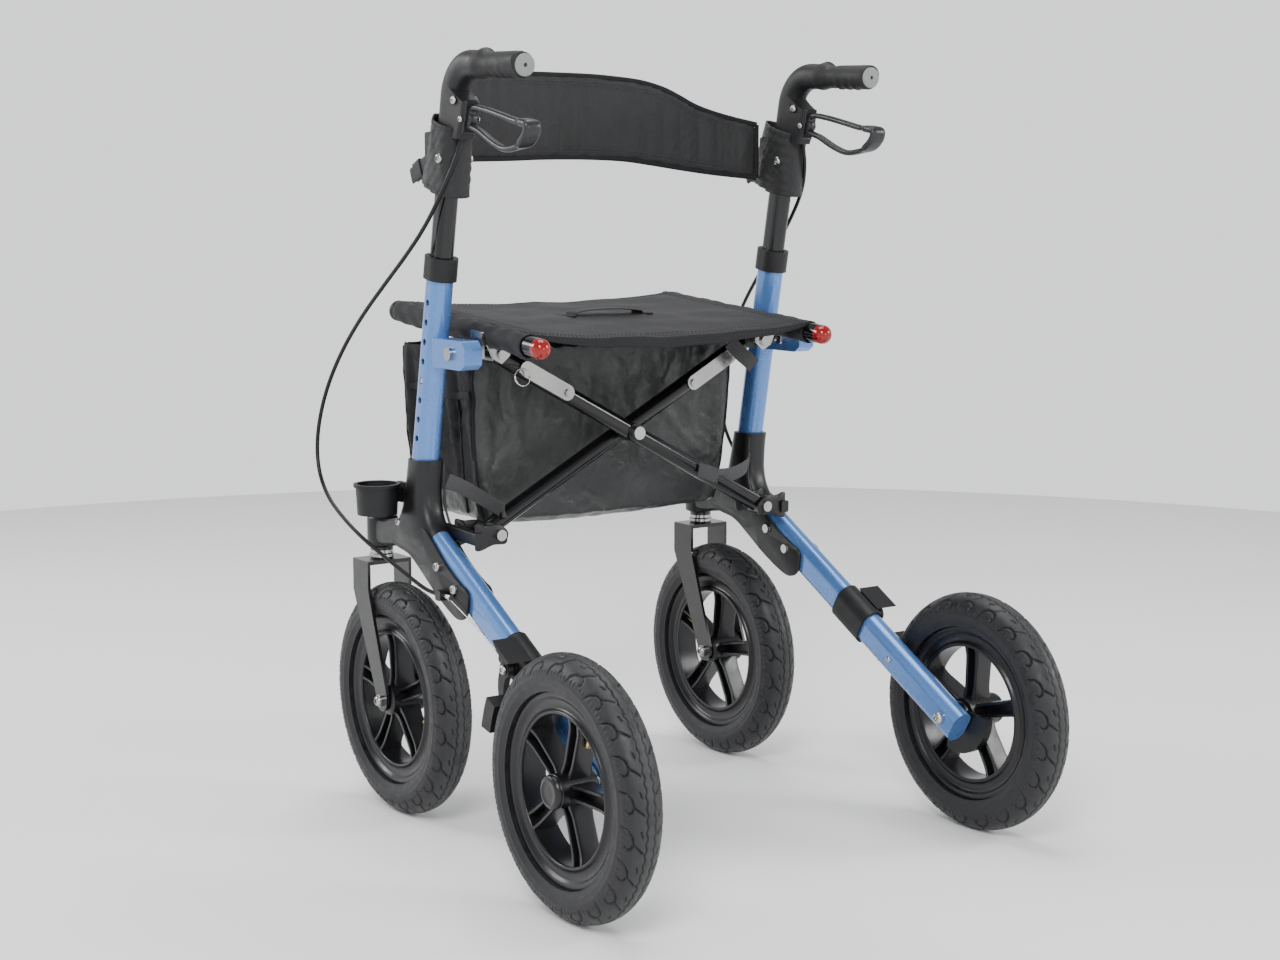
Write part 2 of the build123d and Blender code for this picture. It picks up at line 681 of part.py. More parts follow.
save_pair("grip", make_grip())
save_pair("backrest_clamp", make_backrest_clamp())
save_pair("brake_cable", make_cable())
save_pair("tyre_rear", wheel_place(rear_wheel_x, -wheel_half_base) * tyre_body())
save_pair("tyre_caster", wheel_place(caster_x, wheel_half_base) * tyre_body())
save("rim_rear_right", make_rear_rim(95))
save("rim_rear_left", mirror(make_rear_rim(61), Plane.YZ))
save("rim_caster_right", make_caster_rim(90))
save("rim_caster_left", mirror(make_caster_rim(80), Plane.YZ))
save_pair("caster_fork", make_fork())
save_pair("caster_axle", make_caster_axle())
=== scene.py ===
import bmesh
import bpy
import json
import math
import numpy as np
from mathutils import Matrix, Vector


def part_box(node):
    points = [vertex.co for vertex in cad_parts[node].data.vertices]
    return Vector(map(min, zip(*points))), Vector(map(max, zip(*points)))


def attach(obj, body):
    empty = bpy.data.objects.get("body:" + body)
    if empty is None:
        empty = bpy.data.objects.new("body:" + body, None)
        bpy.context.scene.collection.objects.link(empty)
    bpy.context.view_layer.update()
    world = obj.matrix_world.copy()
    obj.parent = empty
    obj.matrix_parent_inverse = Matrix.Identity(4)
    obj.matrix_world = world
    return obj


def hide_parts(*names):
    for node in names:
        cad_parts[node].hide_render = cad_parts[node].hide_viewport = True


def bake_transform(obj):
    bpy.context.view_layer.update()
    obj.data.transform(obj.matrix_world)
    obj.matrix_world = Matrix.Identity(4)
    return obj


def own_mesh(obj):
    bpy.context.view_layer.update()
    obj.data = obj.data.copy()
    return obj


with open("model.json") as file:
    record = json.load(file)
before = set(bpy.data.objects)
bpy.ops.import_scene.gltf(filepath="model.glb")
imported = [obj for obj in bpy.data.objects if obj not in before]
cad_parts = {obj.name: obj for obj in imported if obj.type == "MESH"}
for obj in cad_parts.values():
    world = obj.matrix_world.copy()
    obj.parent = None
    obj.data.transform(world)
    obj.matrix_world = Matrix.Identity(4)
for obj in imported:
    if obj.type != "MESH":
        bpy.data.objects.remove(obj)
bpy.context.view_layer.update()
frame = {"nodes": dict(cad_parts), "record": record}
print("frame loaded")

sideSigns = {"left": -1.0, "right": 1.0}


def middle(node):
    low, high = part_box(node)
    return np.array((low + high) / 2)


# ---- camera, floor and lights
view = {"azimuth": -34.7, "elevation": 8.0, "distance": 2.821, "aim": (0.0479, 0.141, 0.427), "lens": 59.26}
room = {
    "floorRadius": 3.0, "floorColor": (0.88, 0.88, 0.88, 1), "skyColor": (0.97, 0.98, 1.0, 1),
    "skyStrength": 1.35, "skyTop": 0.5,
    "lamps": [  # place, size, power
        ((-2.3, -2.4, 2.9), 1.3, 115), ((2.7, -2.2, 2.0), 1.0, 60), ((0.2, 0.6, 3.4), 2.0, 75),
        ((-1.9, 2.2, 1.9), 1.0, 44), ((0.2, -3.6, 1.1), 0.6, 16)],
}


def makeCamera():
    data = bpy.data.cameras.new("camera")
    data.sensor_width = 36
    data.lens = view["lens"]
    camera = bpy.data.objects.new("camera", data)
    bpy.context.scene.collection.objects.link(camera)
    a, e = math.radians(view["azimuth"]), math.radians(view["elevation"])
    back = Vector((math.sin(a) * math.cos(e), -math.cos(a) * math.cos(e), math.sin(e)))
    camera.location = Vector(view["aim"]) + back * view["distance"]
    camera.rotation_mode = "QUATERNION"
    camera.rotation_quaternion = (-back).to_track_quat("-Z", "Y")
    bpy.context.scene.camera = camera


def makeRoom():
    world = bpy.data.worlds.new("sky")
    world.use_nodes = True
    # the sky is bright near the horizon and dims towards the top, so dark parts keep their highlights
    tree = world.node_tree
    spot = tree.nodes.new("ShaderNodeTexCoord")
    parts = tree.nodes.new("ShaderNodeSeparateXYZ")
    fade = tree.nodes.new("ShaderNodeMapRange")
    tree.links.new(spot.outputs["Generated"], parts.inputs[0])
    tree.links.new(parts.outputs["Z"], fade.inputs["Value"])
    for socket, value in zip(("From Min", "From Max", "To Min", "To Max"),
                             (0.12, 0.5, room["skyStrength"], room["skyTop"])):
        fade.inputs[socket].default_value = value
    tree.links.new(fade.outputs["Result"], tree.nodes["Background"].inputs["Strength"])
    tree.nodes["Background"].inputs["Color"].default_value = room["skyColor"]
    bpy.context.scene.world = world
    mesh = bpy.data.meshes.new("floor")
    turn = np.linspace(0, 2 * np.pi, 129)[:-1]
    rimLine = room["floorRadius"] * np.stack([np.cos(turn), np.sin(turn), 0 * turn], 1) + [0, 0.1, 0]
    mesh.from_pydata([tuple(k) for k in rimLine], [], [tuple(range(128))])
    floor = bpy.data.objects.new("floor", mesh)
    bpy.context.scene.collection.objects.link(floor)
    material = bpy.data.materials.new("floor")
    material.use_nodes = True
    shader = material.node_tree.nodes["Principled BSDF"]
    shader.inputs["Base Color"].default_value = room["floorColor"]
    shader.inputs["Roughness"].default_value = 0.9
    shader.inputs["Specular IOR Level"].default_value = 0.1
    mesh.materials.append(material)
    for number, (place, size, power) in enumerate(room["lamps"]):
        lamp = bpy.data.lights.new(f"lamp{number}", "AREA")
        lamp.size = size
        lamp.energy = power
        holder = bpy.data.objects.new(lamp.name, lamp)
        bpy.context.scene.collection.objects.link(holder)
        holder.location = place
        holder.rotation_mode = "QUATERNION"
        holder.rotation_quaternion = (Vector((0, 0, 0.45)) - Vector(place)).to_track_quat("-Z", "Y")


makeCamera()
makeRoom()
print("camera and lights made")


# ---- mesh helpers
def surfacePiece(name, grids, material, body, uvs=None, weld=0.5e-6, sharp=40.0, replaced=(),
                 ride=True, groove_shade=None):
    # each grid is an array of points (rows, columns, 3); neighbours are joined by four-sided faces
    points, faces, uvPoints, start = [], [], [], 0
    for number, grid in enumerate(grids):
        rows, columns = grid.shape[:2]
        index = start + np.arange(rows * columns).reshape(rows, columns)
        faces.append(np.stack([index[:-1, :-1], index[:-1, 1:], index[1:, 1:], index[1:, :-1]],
                              -1).reshape(-1, 4))
        points.append(grid.reshape(-1, 3))
        uvPoints.append((uvs[number] if uvs else lengthUv(grid)).reshape(-1, 2))
        start += rows * columns
    points, faces, uvPoints = np.concatenate(points), np.concatenate(faces), np.concatenate(uvPoints)
    mesh = bpy.data.meshes.new(name)
    mesh.vertices.add(len(points))
    mesh.vertices.foreach_set("co", points.astype(np.float32).ravel())
    mesh.loops.add(faces.size)
    mesh.loops.foreach_set("vertex_index", faces.astype(np.int32).ravel())
    mesh.polygons.add(len(faces))
    mesh.polygons.foreach_set("loop_start", np.arange(0, faces.size, 4, dtype=np.int32))
    mesh.update(calc_edges=True)
    layer = mesh.uv_layers.new(name="along")
    layer.data.foreach_set("uv", uvPoints[faces.ravel()].astype(np.float32).ravel())
    # a per-point mask of painted shade, read by the tyre's material to darken the grooves
    if groove_shade is not None:
        mesh.attributes.new("groove_shade", "FLOAT", "POINT").data.foreach_set(
            "value", groove_shade.astype(np.float32).ravel())
    mesh.validate()
    piece = bpy.data.objects.new(name, mesh)
    bpy.context.scene.collection.objects.link(piece)
    shape = bmesh.new()
    shape.from_mesh(mesh)
    bmesh.ops.remove_doubles(shape, verts=shape.verts, dist=weld)
    bmesh.ops.dissolve_degenerate(shape, edges=shape.edges, dist=weld)
    bmesh.ops.recalc_face_normals(shape, faces=shape.faces)
    shape.to_mesh(mesh)
    shape.free()
    smoothShade(piece, sharp)
    mesh.materials.append(material)
    if ride:
        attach(piece, body)
    if replaced:
        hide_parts(*replaced)
    return piece


def smoothShade(piece, sharp=40.0):
    mesh = piece.data
    mesh.polygons.foreach_set("use_smooth", np.ones(len(mesh.polygons), bool))
    mesh.set_sharp_from_angle(angle=math.radians(sharp))
    mesh.update()


def lengthUv(grid):
    # v runs along the rows and u along the columns, both as mean length in metres
    across = np.linalg.norm(np.diff(grid, axis=1), axis=2).mean(0)
    down = np.linalg.norm(np.diff(grid, axis=0), axis=2).mean(1)
    u = np.concatenate([[0], np.cumsum(across)])
    v = np.concatenate([[0], np.cumsum(down)])
    return np.stack(np.meshgrid(u, v), -1)


def unit(vectors):
    return vectors / np.maximum(np.linalg.norm(vectors, axis=-1, keepdims=True), 1e-12)


def smoothPath(points, count, closed=False):
    # a Catmull-Rom curve through the points, resampled at even lengths
    points = np.array(points, float)
    if closed:
        ring = np.vstack([points[-1], points, points[0], points[1]])
    else:
        ring = np.vstack([2 * points[0] - points[1], points, 2 * points[-1] - points[-2]])
    t = np.linspace(0, 1, 24, endpoint=False)[:, None]
    a, b, c, d = (ring[k:len(ring) - 3 + k][:, None, :] for k in range(4))
    curve = 0.5 * (2 * b + (c - a) * t + (2 * a - 5 * b + 4 * c - d) * t ** 2
                   + (3 * b - a - 3 * c + d) * t ** 3)
    curve = np.vstack([curve.reshape(-1, 3), points[0] if closed else points[-1]])
    length = np.concatenate([[0], np.cumsum(np.linalg.norm(np.diff(curve, axis=0), axis=1))])
    even = np.linspace(0, length[-1], count)
    return np.stack([np.interp(even, length, curve[:, k]) for k in range(3)], 1)


def roundBox(wide, deep, power=0.35, count=40):
    # a closed outline: the powers of cosine and sine square the ellipse's corners
    a = np.linspace(0, 2 * np.pi, count + 1)
    x = wide / 2 * np.sign(np.cos(a)) * np.abs(np.cos(a)) ** power
    y = deep / 2 * np.sign(np.sin(a)) * np.abs(np.sin(a)) ** power
    return np.stack([x, y], 1)


def sweep(path, profile, across, scale=None, capped=True, closed=False):
    # the profile's first axis lies along `across`, its second square to that and to the path
    tangent = unit(np.gradient(path, axis=0))
    if closed:
        tangent[0] = tangent[-1] = unit(path[1] - path[-2])
    across = np.broadcast_to(np.array(across, float), path.shape)
    first = unit(across - (across * tangent).sum(1, keepdims=True) * tangent)
    second = np.cross(tangent, first)
    profile = np.broadcast_to(profile, (len(path),) + profile.shape[-2:])
    if scale is not None:
        profile = profile * np.asarray(scale)[:, None, None]
    grid = path[:, None] + profile[..., :1] * first[:, None] + profile[..., 1:] * second[:, None]
    return capEnds(grid) if capped and not closed else grid


def capEnds(grid):
    # both ends shrink to their own centre, which closes the tube
    ends = [np.broadcast_to(g[:-1].mean(0), g.shape)[None] for g in (grid[0], grid[-1])]
    return np.concatenate([ends[0], grid, ends[1]])


def turned(profile, centre, axis, steps=32):
    # the profile's (radius, height) points are carried round the axis
    axis = unit(np.array(axis, float))
    helper = np.array([0, 0, 1.0]) if abs(axis[2]) < 0.9 else np.array([1.0, 0, 0])
    first = unit(np.cross(axis, helper))
    second = np.cross(axis, first)
    a = np.linspace(0, 2 * np.pi, steps + 1)[:, None, None]
    radius, height = np.array(profile, float).T[:, None, :, None]
    return np.array(centre) + radius * (np.cos(a) * first + np.sin(a) * second) + height * axis


def mirrored(grid, sign):
    return grid * np.array([sign, 1, 1])


# ---- materials
looks = {
    "blue_paint": {"dark": (0.075, 0.185, 0.46), "light": (0.10, 0.235, 0.56), "rough": (0.22, 0.30),
                   "grain": 2600, "bump": 0.01, "metallic": 0.45, "coat": 0.45, "fleck": 0.22,
                   "specular": 0.5},
    "black_plastic": {"dark": (0.0042, 0.0042, 0.0048), "light": (0.012, 0.012, 0.0132),
                      "rough": (0.38, 0.55), "grain": 1500, "bump": 0.30},
    "black_casting": {"dark": (0.0036, 0.0036, 0.0042), "light": (0.0095, 0.0095, 0.0105),
                      "rough": (0.28, 0.46), "grain": 900, "bump": 0.22, "specular": 0.4},
    "black_steel": {"dark": (0.0036, 0.0036, 0.004), "light": (0.0085, 0.0085, 0.0095),
                    "rough": (0.24, 0.36), "grain": 700, "bump": 0.12, "coat": 0.2, "specular": 0.4},
    "black_tube": {"dark": (0.0022, 0.0022, 0.0026), "light": (0.005, 0.005, 0.0056), "rough": (0.13, 0.20),
                   "grain": 420, "bump": 0.03, "specular": 0.45},
    "zinc": {"dark": (0.30, 0.30, 0.295), "light": (0.62, 0.61, 0.585), "rough": (0.16, 0.34),
             "grain": 1300, "bump": 0.10, "metallic": 1.0, "stretch": (1, 8, 1), "specular": 0.5},
    "lever_grey": {"dark": (0.012, 0.012, 0.0135), "light": (0.026, 0.026, 0.029), "rough": (0.28, 0.40),
                   "grain": 1100, "bump": 0.06, "metallic": 0.2, "specular": 0.45},
    "grip_rubber": {"dark": (0.0045, 0.0045, 0.005), "light": (0.013, 0.013, 0.014), "rough": (0.50, 0.68),
                    "grain": 1700, "bump": 0.35},
    "red_cap": {"dark": (0.19, 0.0015, 0.0015), "light": (0.29, 0.004, 0.003), "rough": (0.07, 0.12),
                "grain": 120, "bump": 0.02, "coat": 0.25, "specular": 0.4},
    "cable_sheath": {"dark": (0.0035, 0.0035, 0.004), "light": (0.008, 0.008, 0.009), "rough": (0.26, 0.38),
                     "grain": 1500, "bump": 0.06},
    "rim_plastic": {"dark": (0.0038, 0.0038, 0.0046), "light": (0.0095, 0.0095, 0.0115),
                    "rough": (0.26, 0.36), "grain": 1400, "bump": 0.05, "specular": 0.42},
    "endCap": {"dark": (0.13, 0.14, 0.135), "light": (0.24, 0.25, 0.24), "rough": (0.45, 0.6),
               "grain": 1600, "bump": 0.45},
    "valveBrass": {"dark": (0.42, 0.30, 0.10), "light": (0.66, 0.52, 0.22), "rough": (0.22, 0.35),
                   "grain": 900, "bump": 0.1, "metallic": 1.0, "specular": 0.5},
}
clothLooks = {
    "seat_fabric": {"dark": (0.0042, 0.0042, 0.0048), "light": (0.017, 0.017, 0.019), "pitch": 0.0013,
                    "bump": 0.5, "rough": (0.55, 0.75), "sheen": 0.04},
    "bag_fabric": {"dark": (0.0075, 0.0085, 0.0082), "light": (0.031, 0.034, 0.033), "pitch": 0.0010,
                   "bump": 0.25, "rough": (0.27, 0.42), "sheen": 0.03, "specular": 0.45, "crease": 0.75},
    "bagSide": {"dark": (0.0032, 0.0032, 0.0040), "light": (0.0095, 0.0095, 0.0115), "pitch": 0.0014,
                "bump": 0.5, "rough": (0.62, 0.78), "sheen": 0.03},
    "backrest_fabric": {"dark": (0.0048, 0.0048, 0.0052), "light": (0.019, 0.0195, 0.0205), "pitch": 0.0013,
                        "bump": 0.5, "rough": (0.45, 0.65), "sheen": 0.05, "crease": 0.45, "specular": 0.3},
    "webbing": {"dark": (0.018, 0.018, 0.019), "light": (0.075, 0.075, 0.076), "pitch": 0.0024, "bump": 0.8,
                "rough": (0.7, 0.85), "sheen": 0.08},
    "thread": {"dark": (0.014, 0.014, 0.015), "light": (0.05, 0.05, 0.052), "pitch": 0.0006, "bump": 0.5,
               "rough": (0.6, 0.75), "sheen": 0.05},
}


def newMaterial(name, roughness=0.5):
    material = bpy.data.materials.new(name)
    material.use_nodes = True
    tree = material.node_tree
    shader = tree.nodes["Principled BSDF"]
    shader.inputs["Roughness"].default_value = roughness
    return material, tree, shader


def addNode(tree, kind, **values):
    node = tree.nodes.new(kind)
    for key, value in values.items():
        if key in node.inputs:
            node.inputs[key].default_value = value
        else:
            setattr(node, key, value)
    return node


def noiseOf(tree, vector, scale, detail=3.0):
    node = addNode(tree, "ShaderNodeTexNoise", Scale=scale, Detail=detail)
    tree.links.new(vector, node.inputs["Vector"])
    return node.outputs["Fac"]


def rampOf(tree, value, low, high, start=0.3, end=0.7):
    node = tree.nodes.new("ShaderNodeValToRGB")
    node.color_ramp.elements[0].position = start
    node.color_ramp.elements[1].position = end
    node.color_ramp.elements[0].color = (*low, 1)
    node.color_ramp.elements[1].color = (*high, 1)
    tree.links.new(value, node.inputs["Fac"])
    return node.outputs["Color"]


def mathOf(tree, kind, first, second=0.5, third=0.5):
    node = addNode(tree, "ShaderNodeMath", operation=kind)
    for socket, value in zip(node.inputs, (first, second, third)):
        if isinstance(value, (int, float)):
            socket.default_value = value
        else:
            tree.links.new(value, socket)
    return node.outputs[0]


def rangeOf(tree, value, low, high, fromLow=0.3, fromHigh=0.7):
    node = tree.nodes.new("ShaderNodeMapRange")
    node.inputs["From Min"].default_value = fromLow
    node.inputs["From Max"].default_value = fromHigh
    node.inputs["To Min"].default_value = low
    node.inputs["To Max"].default_value = high
    tree.links.new(value, node.inputs["Value"])
    return node.outputs["Result"]


def bumpOf(tree, height, strength, distance, below=None):
    node = addNode(tree, "ShaderNodeBump", Strength=strength, Distance=distance)
    tree.links.new(height, node.inputs["Height"])
    if below is not None:
        tree.links.new(below, node.inputs["Normal"])
    return node.outputs["Normal"]


def hardFinish(name, look):
    # cloudy colour, patchy gloss and a fine moulded or sprayed grain, with faint rubbed scratches
    material, tree, shader = newMaterial(name)
    spot = addNode(tree, "ShaderNodeTexCoord").outputs["Object"]
    if "stretch" in look:
        mapping = addNode(tree, "ShaderNodeMapping", Scale=look["stretch"])
        tree.links.new(spot, mapping.inputs["Vector"])
        fine = mapping.outputs["Vector"]
    else:
        fine = spot
    cloud = noiseOf(tree, spot, 7, 5)
    grain = noiseOf(tree, fine, look["grain"], 2)
    tone = mathOf(tree, "MULTIPLY_ADD", grain, look.get("fleck", 0.18),
                  mathOf(tree, "MULTIPLY", cloud, 0.8))
    tree.links.new(rampOf(tree, tone, look["dark"], look["light"], 0.30, 0.72), shader.inputs["Base Color"])
    rub = noiseOf(tree, spot, 55, 6)
    tree.links.new(rangeOf(tree, rub, look["rough"][0], look["rough"][1]), shader.inputs["Roughness"])
    under = bumpOf(tree, cloud, 0.03, 0.002)
    tree.links.new(bumpOf(tree, grain, look["bump"], 0.0004, under), shader.inputs["Normal"])
    shader.inputs["Specular IOR Level"].default_value = look.get("specular", 0.32)
    shader.inputs["Metallic"].default_value = look.get("metallic", 0.0)
    shader.inputs["Coat Weight"].default_value = look.get("coat", 0.0)
    shader.inputs["Coat Roughness"].default_value = 0.12
    return material


def clothFinish(name, look):
    # a plain weave: crossing ribs from the piece's own UV lengths, with fading and lint
    material, tree, shader = newMaterial(name)
    coords = addNode(tree, "ShaderNodeTexCoord")
    parts = tree.nodes.new("ShaderNodeSeparateXYZ")
    tree.links.new(coords.outputs["UV"], parts.inputs[0])
    turn = 2 * math.pi / look["pitch"]
    warp = mathOf(tree, "SINE", mathOf(tree, "MULTIPLY", parts.outputs["X"], turn))
    weft = mathOf(tree, "SINE", mathOf(tree, "MULTIPLY", parts.outputs["Y"], turn))
    weave = mathOf(tree, "MULTIPLY_ADD", mathOf(tree, "MULTIPLY", warp, weft), 0.5, 0.5)
    cloud = noiseOf(tree, coords.outputs["Object"], 9, 6)
    lint = noiseOf(tree, coords.outputs["Object"], 700, 2)
    tone = mathOf(tree, "MULTIPLY_ADD", weave, 0.18,
                  mathOf(tree, "MULTIPLY_ADD", cloud, 0.65, mathOf(tree, "MULTIPLY", lint, 0.18)))
    tree.links.new(rampOf(tree, tone, look["dark"], look["light"], 0.30, 0.75), shader.inputs["Base Color"])
    tree.links.new(rangeOf(tree, cloud, look["rough"][0], look["rough"][1]), shader.inputs["Roughness"])
    crease = noiseOf(tree, coords.outputs["Object"], 38, 4)
    under = bumpOf(tree, crease, look.get("crease", 0.25), 0.005)
    tree.links.new(bumpOf(tree, weave, look["bump"], 0.0004, under), shader.inputs["Normal"])
    shader.inputs["Specular IOR Level"].default_value = look.get("specular", 0.22)
    shader.inputs["Sheen Weight"].default_value = look["sheen"]
    shader.inputs["Sheen Roughness"].default_value = 0.5
    return material


def tyreFinish():
    # dark rubber, dusty along the middle of the tread, where the UV's first value is near nought; the
    # grooves are painted near black as shade
    material, tree, shader = newMaterial("tyre")
    coords = addNode(tree, "ShaderNodeTexCoord")
    parts = tree.nodes.new("ShaderNodeSeparateXYZ")
    tree.links.new(coords.outputs["UV"], parts.inputs[0])
    dust = noiseOf(tree, coords.outputs["Object"], 90, 6)
    grain = noiseOf(tree, coords.outputs["Object"], 1500, 2)
    reach = mathOf(tree, "ABSOLUTE", parts.outputs["X"])
    band = rangeOf(tree, mathOf(tree, "MULTIPLY_ADD", dust, 0.016, reach), 1.0, 0.0, 0.014, 0.030)
    rubber = rampOf(tree, dust, (0.0062, 0.0062, 0.0074), (0.017, 0.017, 0.0195), 0.3, 0.75)
    worn = rampOf(tree, dust, (0.016, 0.0165, 0.017), (0.040, 0.041, 0.042), 0.3, 0.75)
    mix = addNode(tree, "ShaderNodeMix", data_type="RGBA")
    tree.links.new(band, mix.inputs[0])
    tree.links.new(rubber, mix.inputs[6])
    tree.links.new(worn, mix.inputs[7])
    # painted shade: where the groove mask is set, the colour goes near black to stand for the shadow inside
    # the tread's grooves
    groove_shade = addNode(tree, "ShaderNodeAttribute", attribute_name="groove_shade")
    cut = addNode(tree, "ShaderNodeMix", data_type="RGBA")
    tree.links.new(groove_shade.outputs["Fac"], cut.inputs[0])
    tree.links.new(mix.outputs[2], cut.inputs[6])
    cut.inputs[7].default_value = (0.0022, 0.0022, 0.0028, 1)
    tree.links.new(cut.outputs[2], shader.inputs["Base Color"])
    tree.links.new(rangeOf(tree, dust, 0.38, 0.62), shader.inputs["Roughness"])
    shader.inputs["Specular IOR Level"].default_value = 0.4
    tree.links.new(bumpOf(tree, grain, 0.3, 0.0005), shader.inputs["Normal"])
    return material


finishes = {name: hardFinish(name, look) for name, look in looks.items()}
finishes.update({name: clothFinish(name, look) for name, look in clothLooks.items()})
finishes["tyre"] = tyreFinish()
slotOfNode = {part["node"]: part["material_slot"] for part in frame["record"]["subparts"]}
for nodeName, cadNode in frame["nodes"].items():
    cadNode.data.materials.clear()
    cadNode.data.materials.append(finishes[slotOfNode[nodeName]])
print("materials made")

# ---- tyres with a moulded tread
tread = {
    "section": 0.0265, "around": 960, "half": 0.034, "hooks": 22, "grooveDepth": 0.0019,
    "grooveWidth": 0.00115, "beadRadius": 0.1128, "ringReach": (0.0405, 0.0475), "ringRise": 0.0006,
    "hook": [(-0.0150, 0.0350), (-0.0110, 0.0270), (-0.0040, 0.0215), (0.0045, 0.0200), (0.0105, 0.0225),
             (0.0125, 0.0270), (0.0095, 0.0300)],
    "branch": [(0.0045, 0.0200), (0.0110, 0.0125), (0.0150, 0.0085)],
    "dash": [(-0.0110, 0.0120), (-0.0040, 0.0100)],
}


def nearLine(s, b, line):
    # distance in metres from each point (s, b) to the nearest stretch of the line
    best = np.full(np.broadcast(s, b).shape, 1.0)
    for (s0, b0), (s1, b1) in zip(line, line[1:]):
        ds, db = s1 - s0, b1 - b0
        share = np.clip(((s - s0) * ds + (b - b0) * db) / (ds * ds + db * db), 0, 1)
        best = np.minimum(best, np.hypot(s - s0 - share * ds, b - b0 - share * db))
    return best


def tyreGrid(centre, outer):
    # t is the arc length across the tread and a the turn round the wheel; grooves lower the round section
    section, half = tread["section"], tread["half"]
    ring = outer - section
    reach = section * math.acos((tread["beadRadius"] - ring) / section)
    side = np.linspace(half, reach, 15)[1:]
    t = np.concatenate([-side[::-1], np.linspace(-half, half, 65), side])
    a = np.linspace(0, 2 * np.pi, tread["around"] + 1)[:, None]
    pitch = 2 * np.pi * outer / tread["hooks"]
    b = np.abs(t)[None]
    s = a * outer * np.ones_like(b)
    shift = np.where(t[None] > 0, 0.5, 0.0) * pitch
    local = ((s + shift) / pitch % 1 - 0.5) * pitch
    near = np.minimum(nearLine(local, b, tread["hook"]), nearLine(local, b, tread["branch"]))
    near = np.minimum(near, nearLine(local, b, tread["dash"]) + 0.0003)
    rise = -tread["grooveDepth"] * np.exp(-(near / tread["grooveWidth"]) ** 2)
    # the groove mask, used only to paint shade into the grooves
    groove_shade = np.exp(-(near / (1.25 * tread["grooveWidth"])) ** 2)
    weave = 0.0009 * np.sin(s / 0.0021)
    rise -= 0.0016 * np.exp(-((b - 0.0050 - weave) / 0.0010) ** 2)
    groove_shade = np.maximum(groove_shade, 0.9 * np.exp(-((b - 0.0050 - weave) / 0.0012) ** 2))
    notch = np.cos(s / pitch * 2 * np.pi * 3) ** 8 * np.exp(-((b - 0.0325) / 0.0022) ** 2)
    rise += 0.0009 * notch
    for place in tread["ringReach"]:
        rise += tread["ringRise"] * np.exp(-((b - place) / 0.0009) ** 2)
    angle = t / section
    radius = ring + (section + rise) * np.cos(angle)
    across = (section + rise) * np.sin(angle)
    seat = tread["beadRadius"] - 0.0015
    lipX = section * math.sin(reach / section)
    radius = np.hstack([np.full((len(a), 1), seat), radius, np.full((len(a), 2), seat)])
    across = np.hstack([np.full((len(a), 1), -lipX), across, np.full((len(a), 1), lipX),
                        np.full((len(a), 1), -lipX)])
    grid = np.stack([across, radius * np.cos(a), radius * np.sin(a)], -1) + centre
    u = np.concatenate([[t[0]], t, [t[-1], t[-1]]])
    uv = np.stack(np.meshgrid(u, a[:, 0] * outer), -1)
    groove_shade = np.pad(np.clip(groove_shade, 0, 1), ((0, 0), (1, 2)))
    return grid, uv, groove_shade


def hairGrids(centre, outer, count=46):
    # thin rubber hairs left by the mould's vents, in rows along the shoulders, leaning a little
    draw = np.random.default_rng(8)
    section, grids = tread["section"], []
    for reach in (-0.031, -0.0215, 0.0215, 0.031):
        a = np.linspace(0, 2 * np.pi, count, endpoint=False) + draw.uniform(-0.03, 0.03, count)
        t = (reach + draw.uniform(-0.002, 0.002, count)) / section
        flat = np.stack([0 * a, np.cos(a), np.sin(a)], 1)
        normal = np.cos(t)[:, None] * flat + np.sin(t)[:, None] * np.array([1.0, 0, 0])
        root = centre + (outer - section) * flat + (section - 0.0006) * normal
        tip = (root + normal * draw.uniform(0.0016, 0.0036, count)[:, None]
               + draw.normal(0, 0.0005, (count, 3)))
        side = np.cross(normal, np.array([1.0, 0.2, 0.3]))
        other = np.cross(normal, side)
        turn = np.array([0, 2.1, 4.2, 6.2832])[None, :, None]
        ring = 0.00028 * (np.cos(turn) * side[:, None] + np.sin(turn) * other[:, None])
        base, top = root[:, None] + ring, np.broadcast_to(tip[:, None], ring.shape)
        foot = np.broadcast_to(root[:, None], ring.shape)
        grids += list(np.stack([foot, base, top], 1))
    return grids


def makeTyres():
    for side in sideSigns:
        for kind, body in (("rear", f"rear_wheel_{side}"), ("caster", f"caster_wheel_{side}")):
            node = f"tyre_{kind}_{side}"
            low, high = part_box(node)
            outer = (high.z - low.z) / 2
            grid, uv, groove_shade = tyreGrid(middle(node), outer)
            surfacePiece(f"tread_{kind}_{side}", [grid], finishes["tyre"], body, [uv],
                         replaced=[node], groove_shade=groove_shade)
            surfacePiece(f"hairs_{kind}_{side}", hairGrids(middle(node), outer), finishes["grip_rubber"],
                         body)


rim = {"half": 0.018, "spokes": 5, "ribGap": 0.0078, "ribWide": 0.0042, "ribDeep": 0.026}


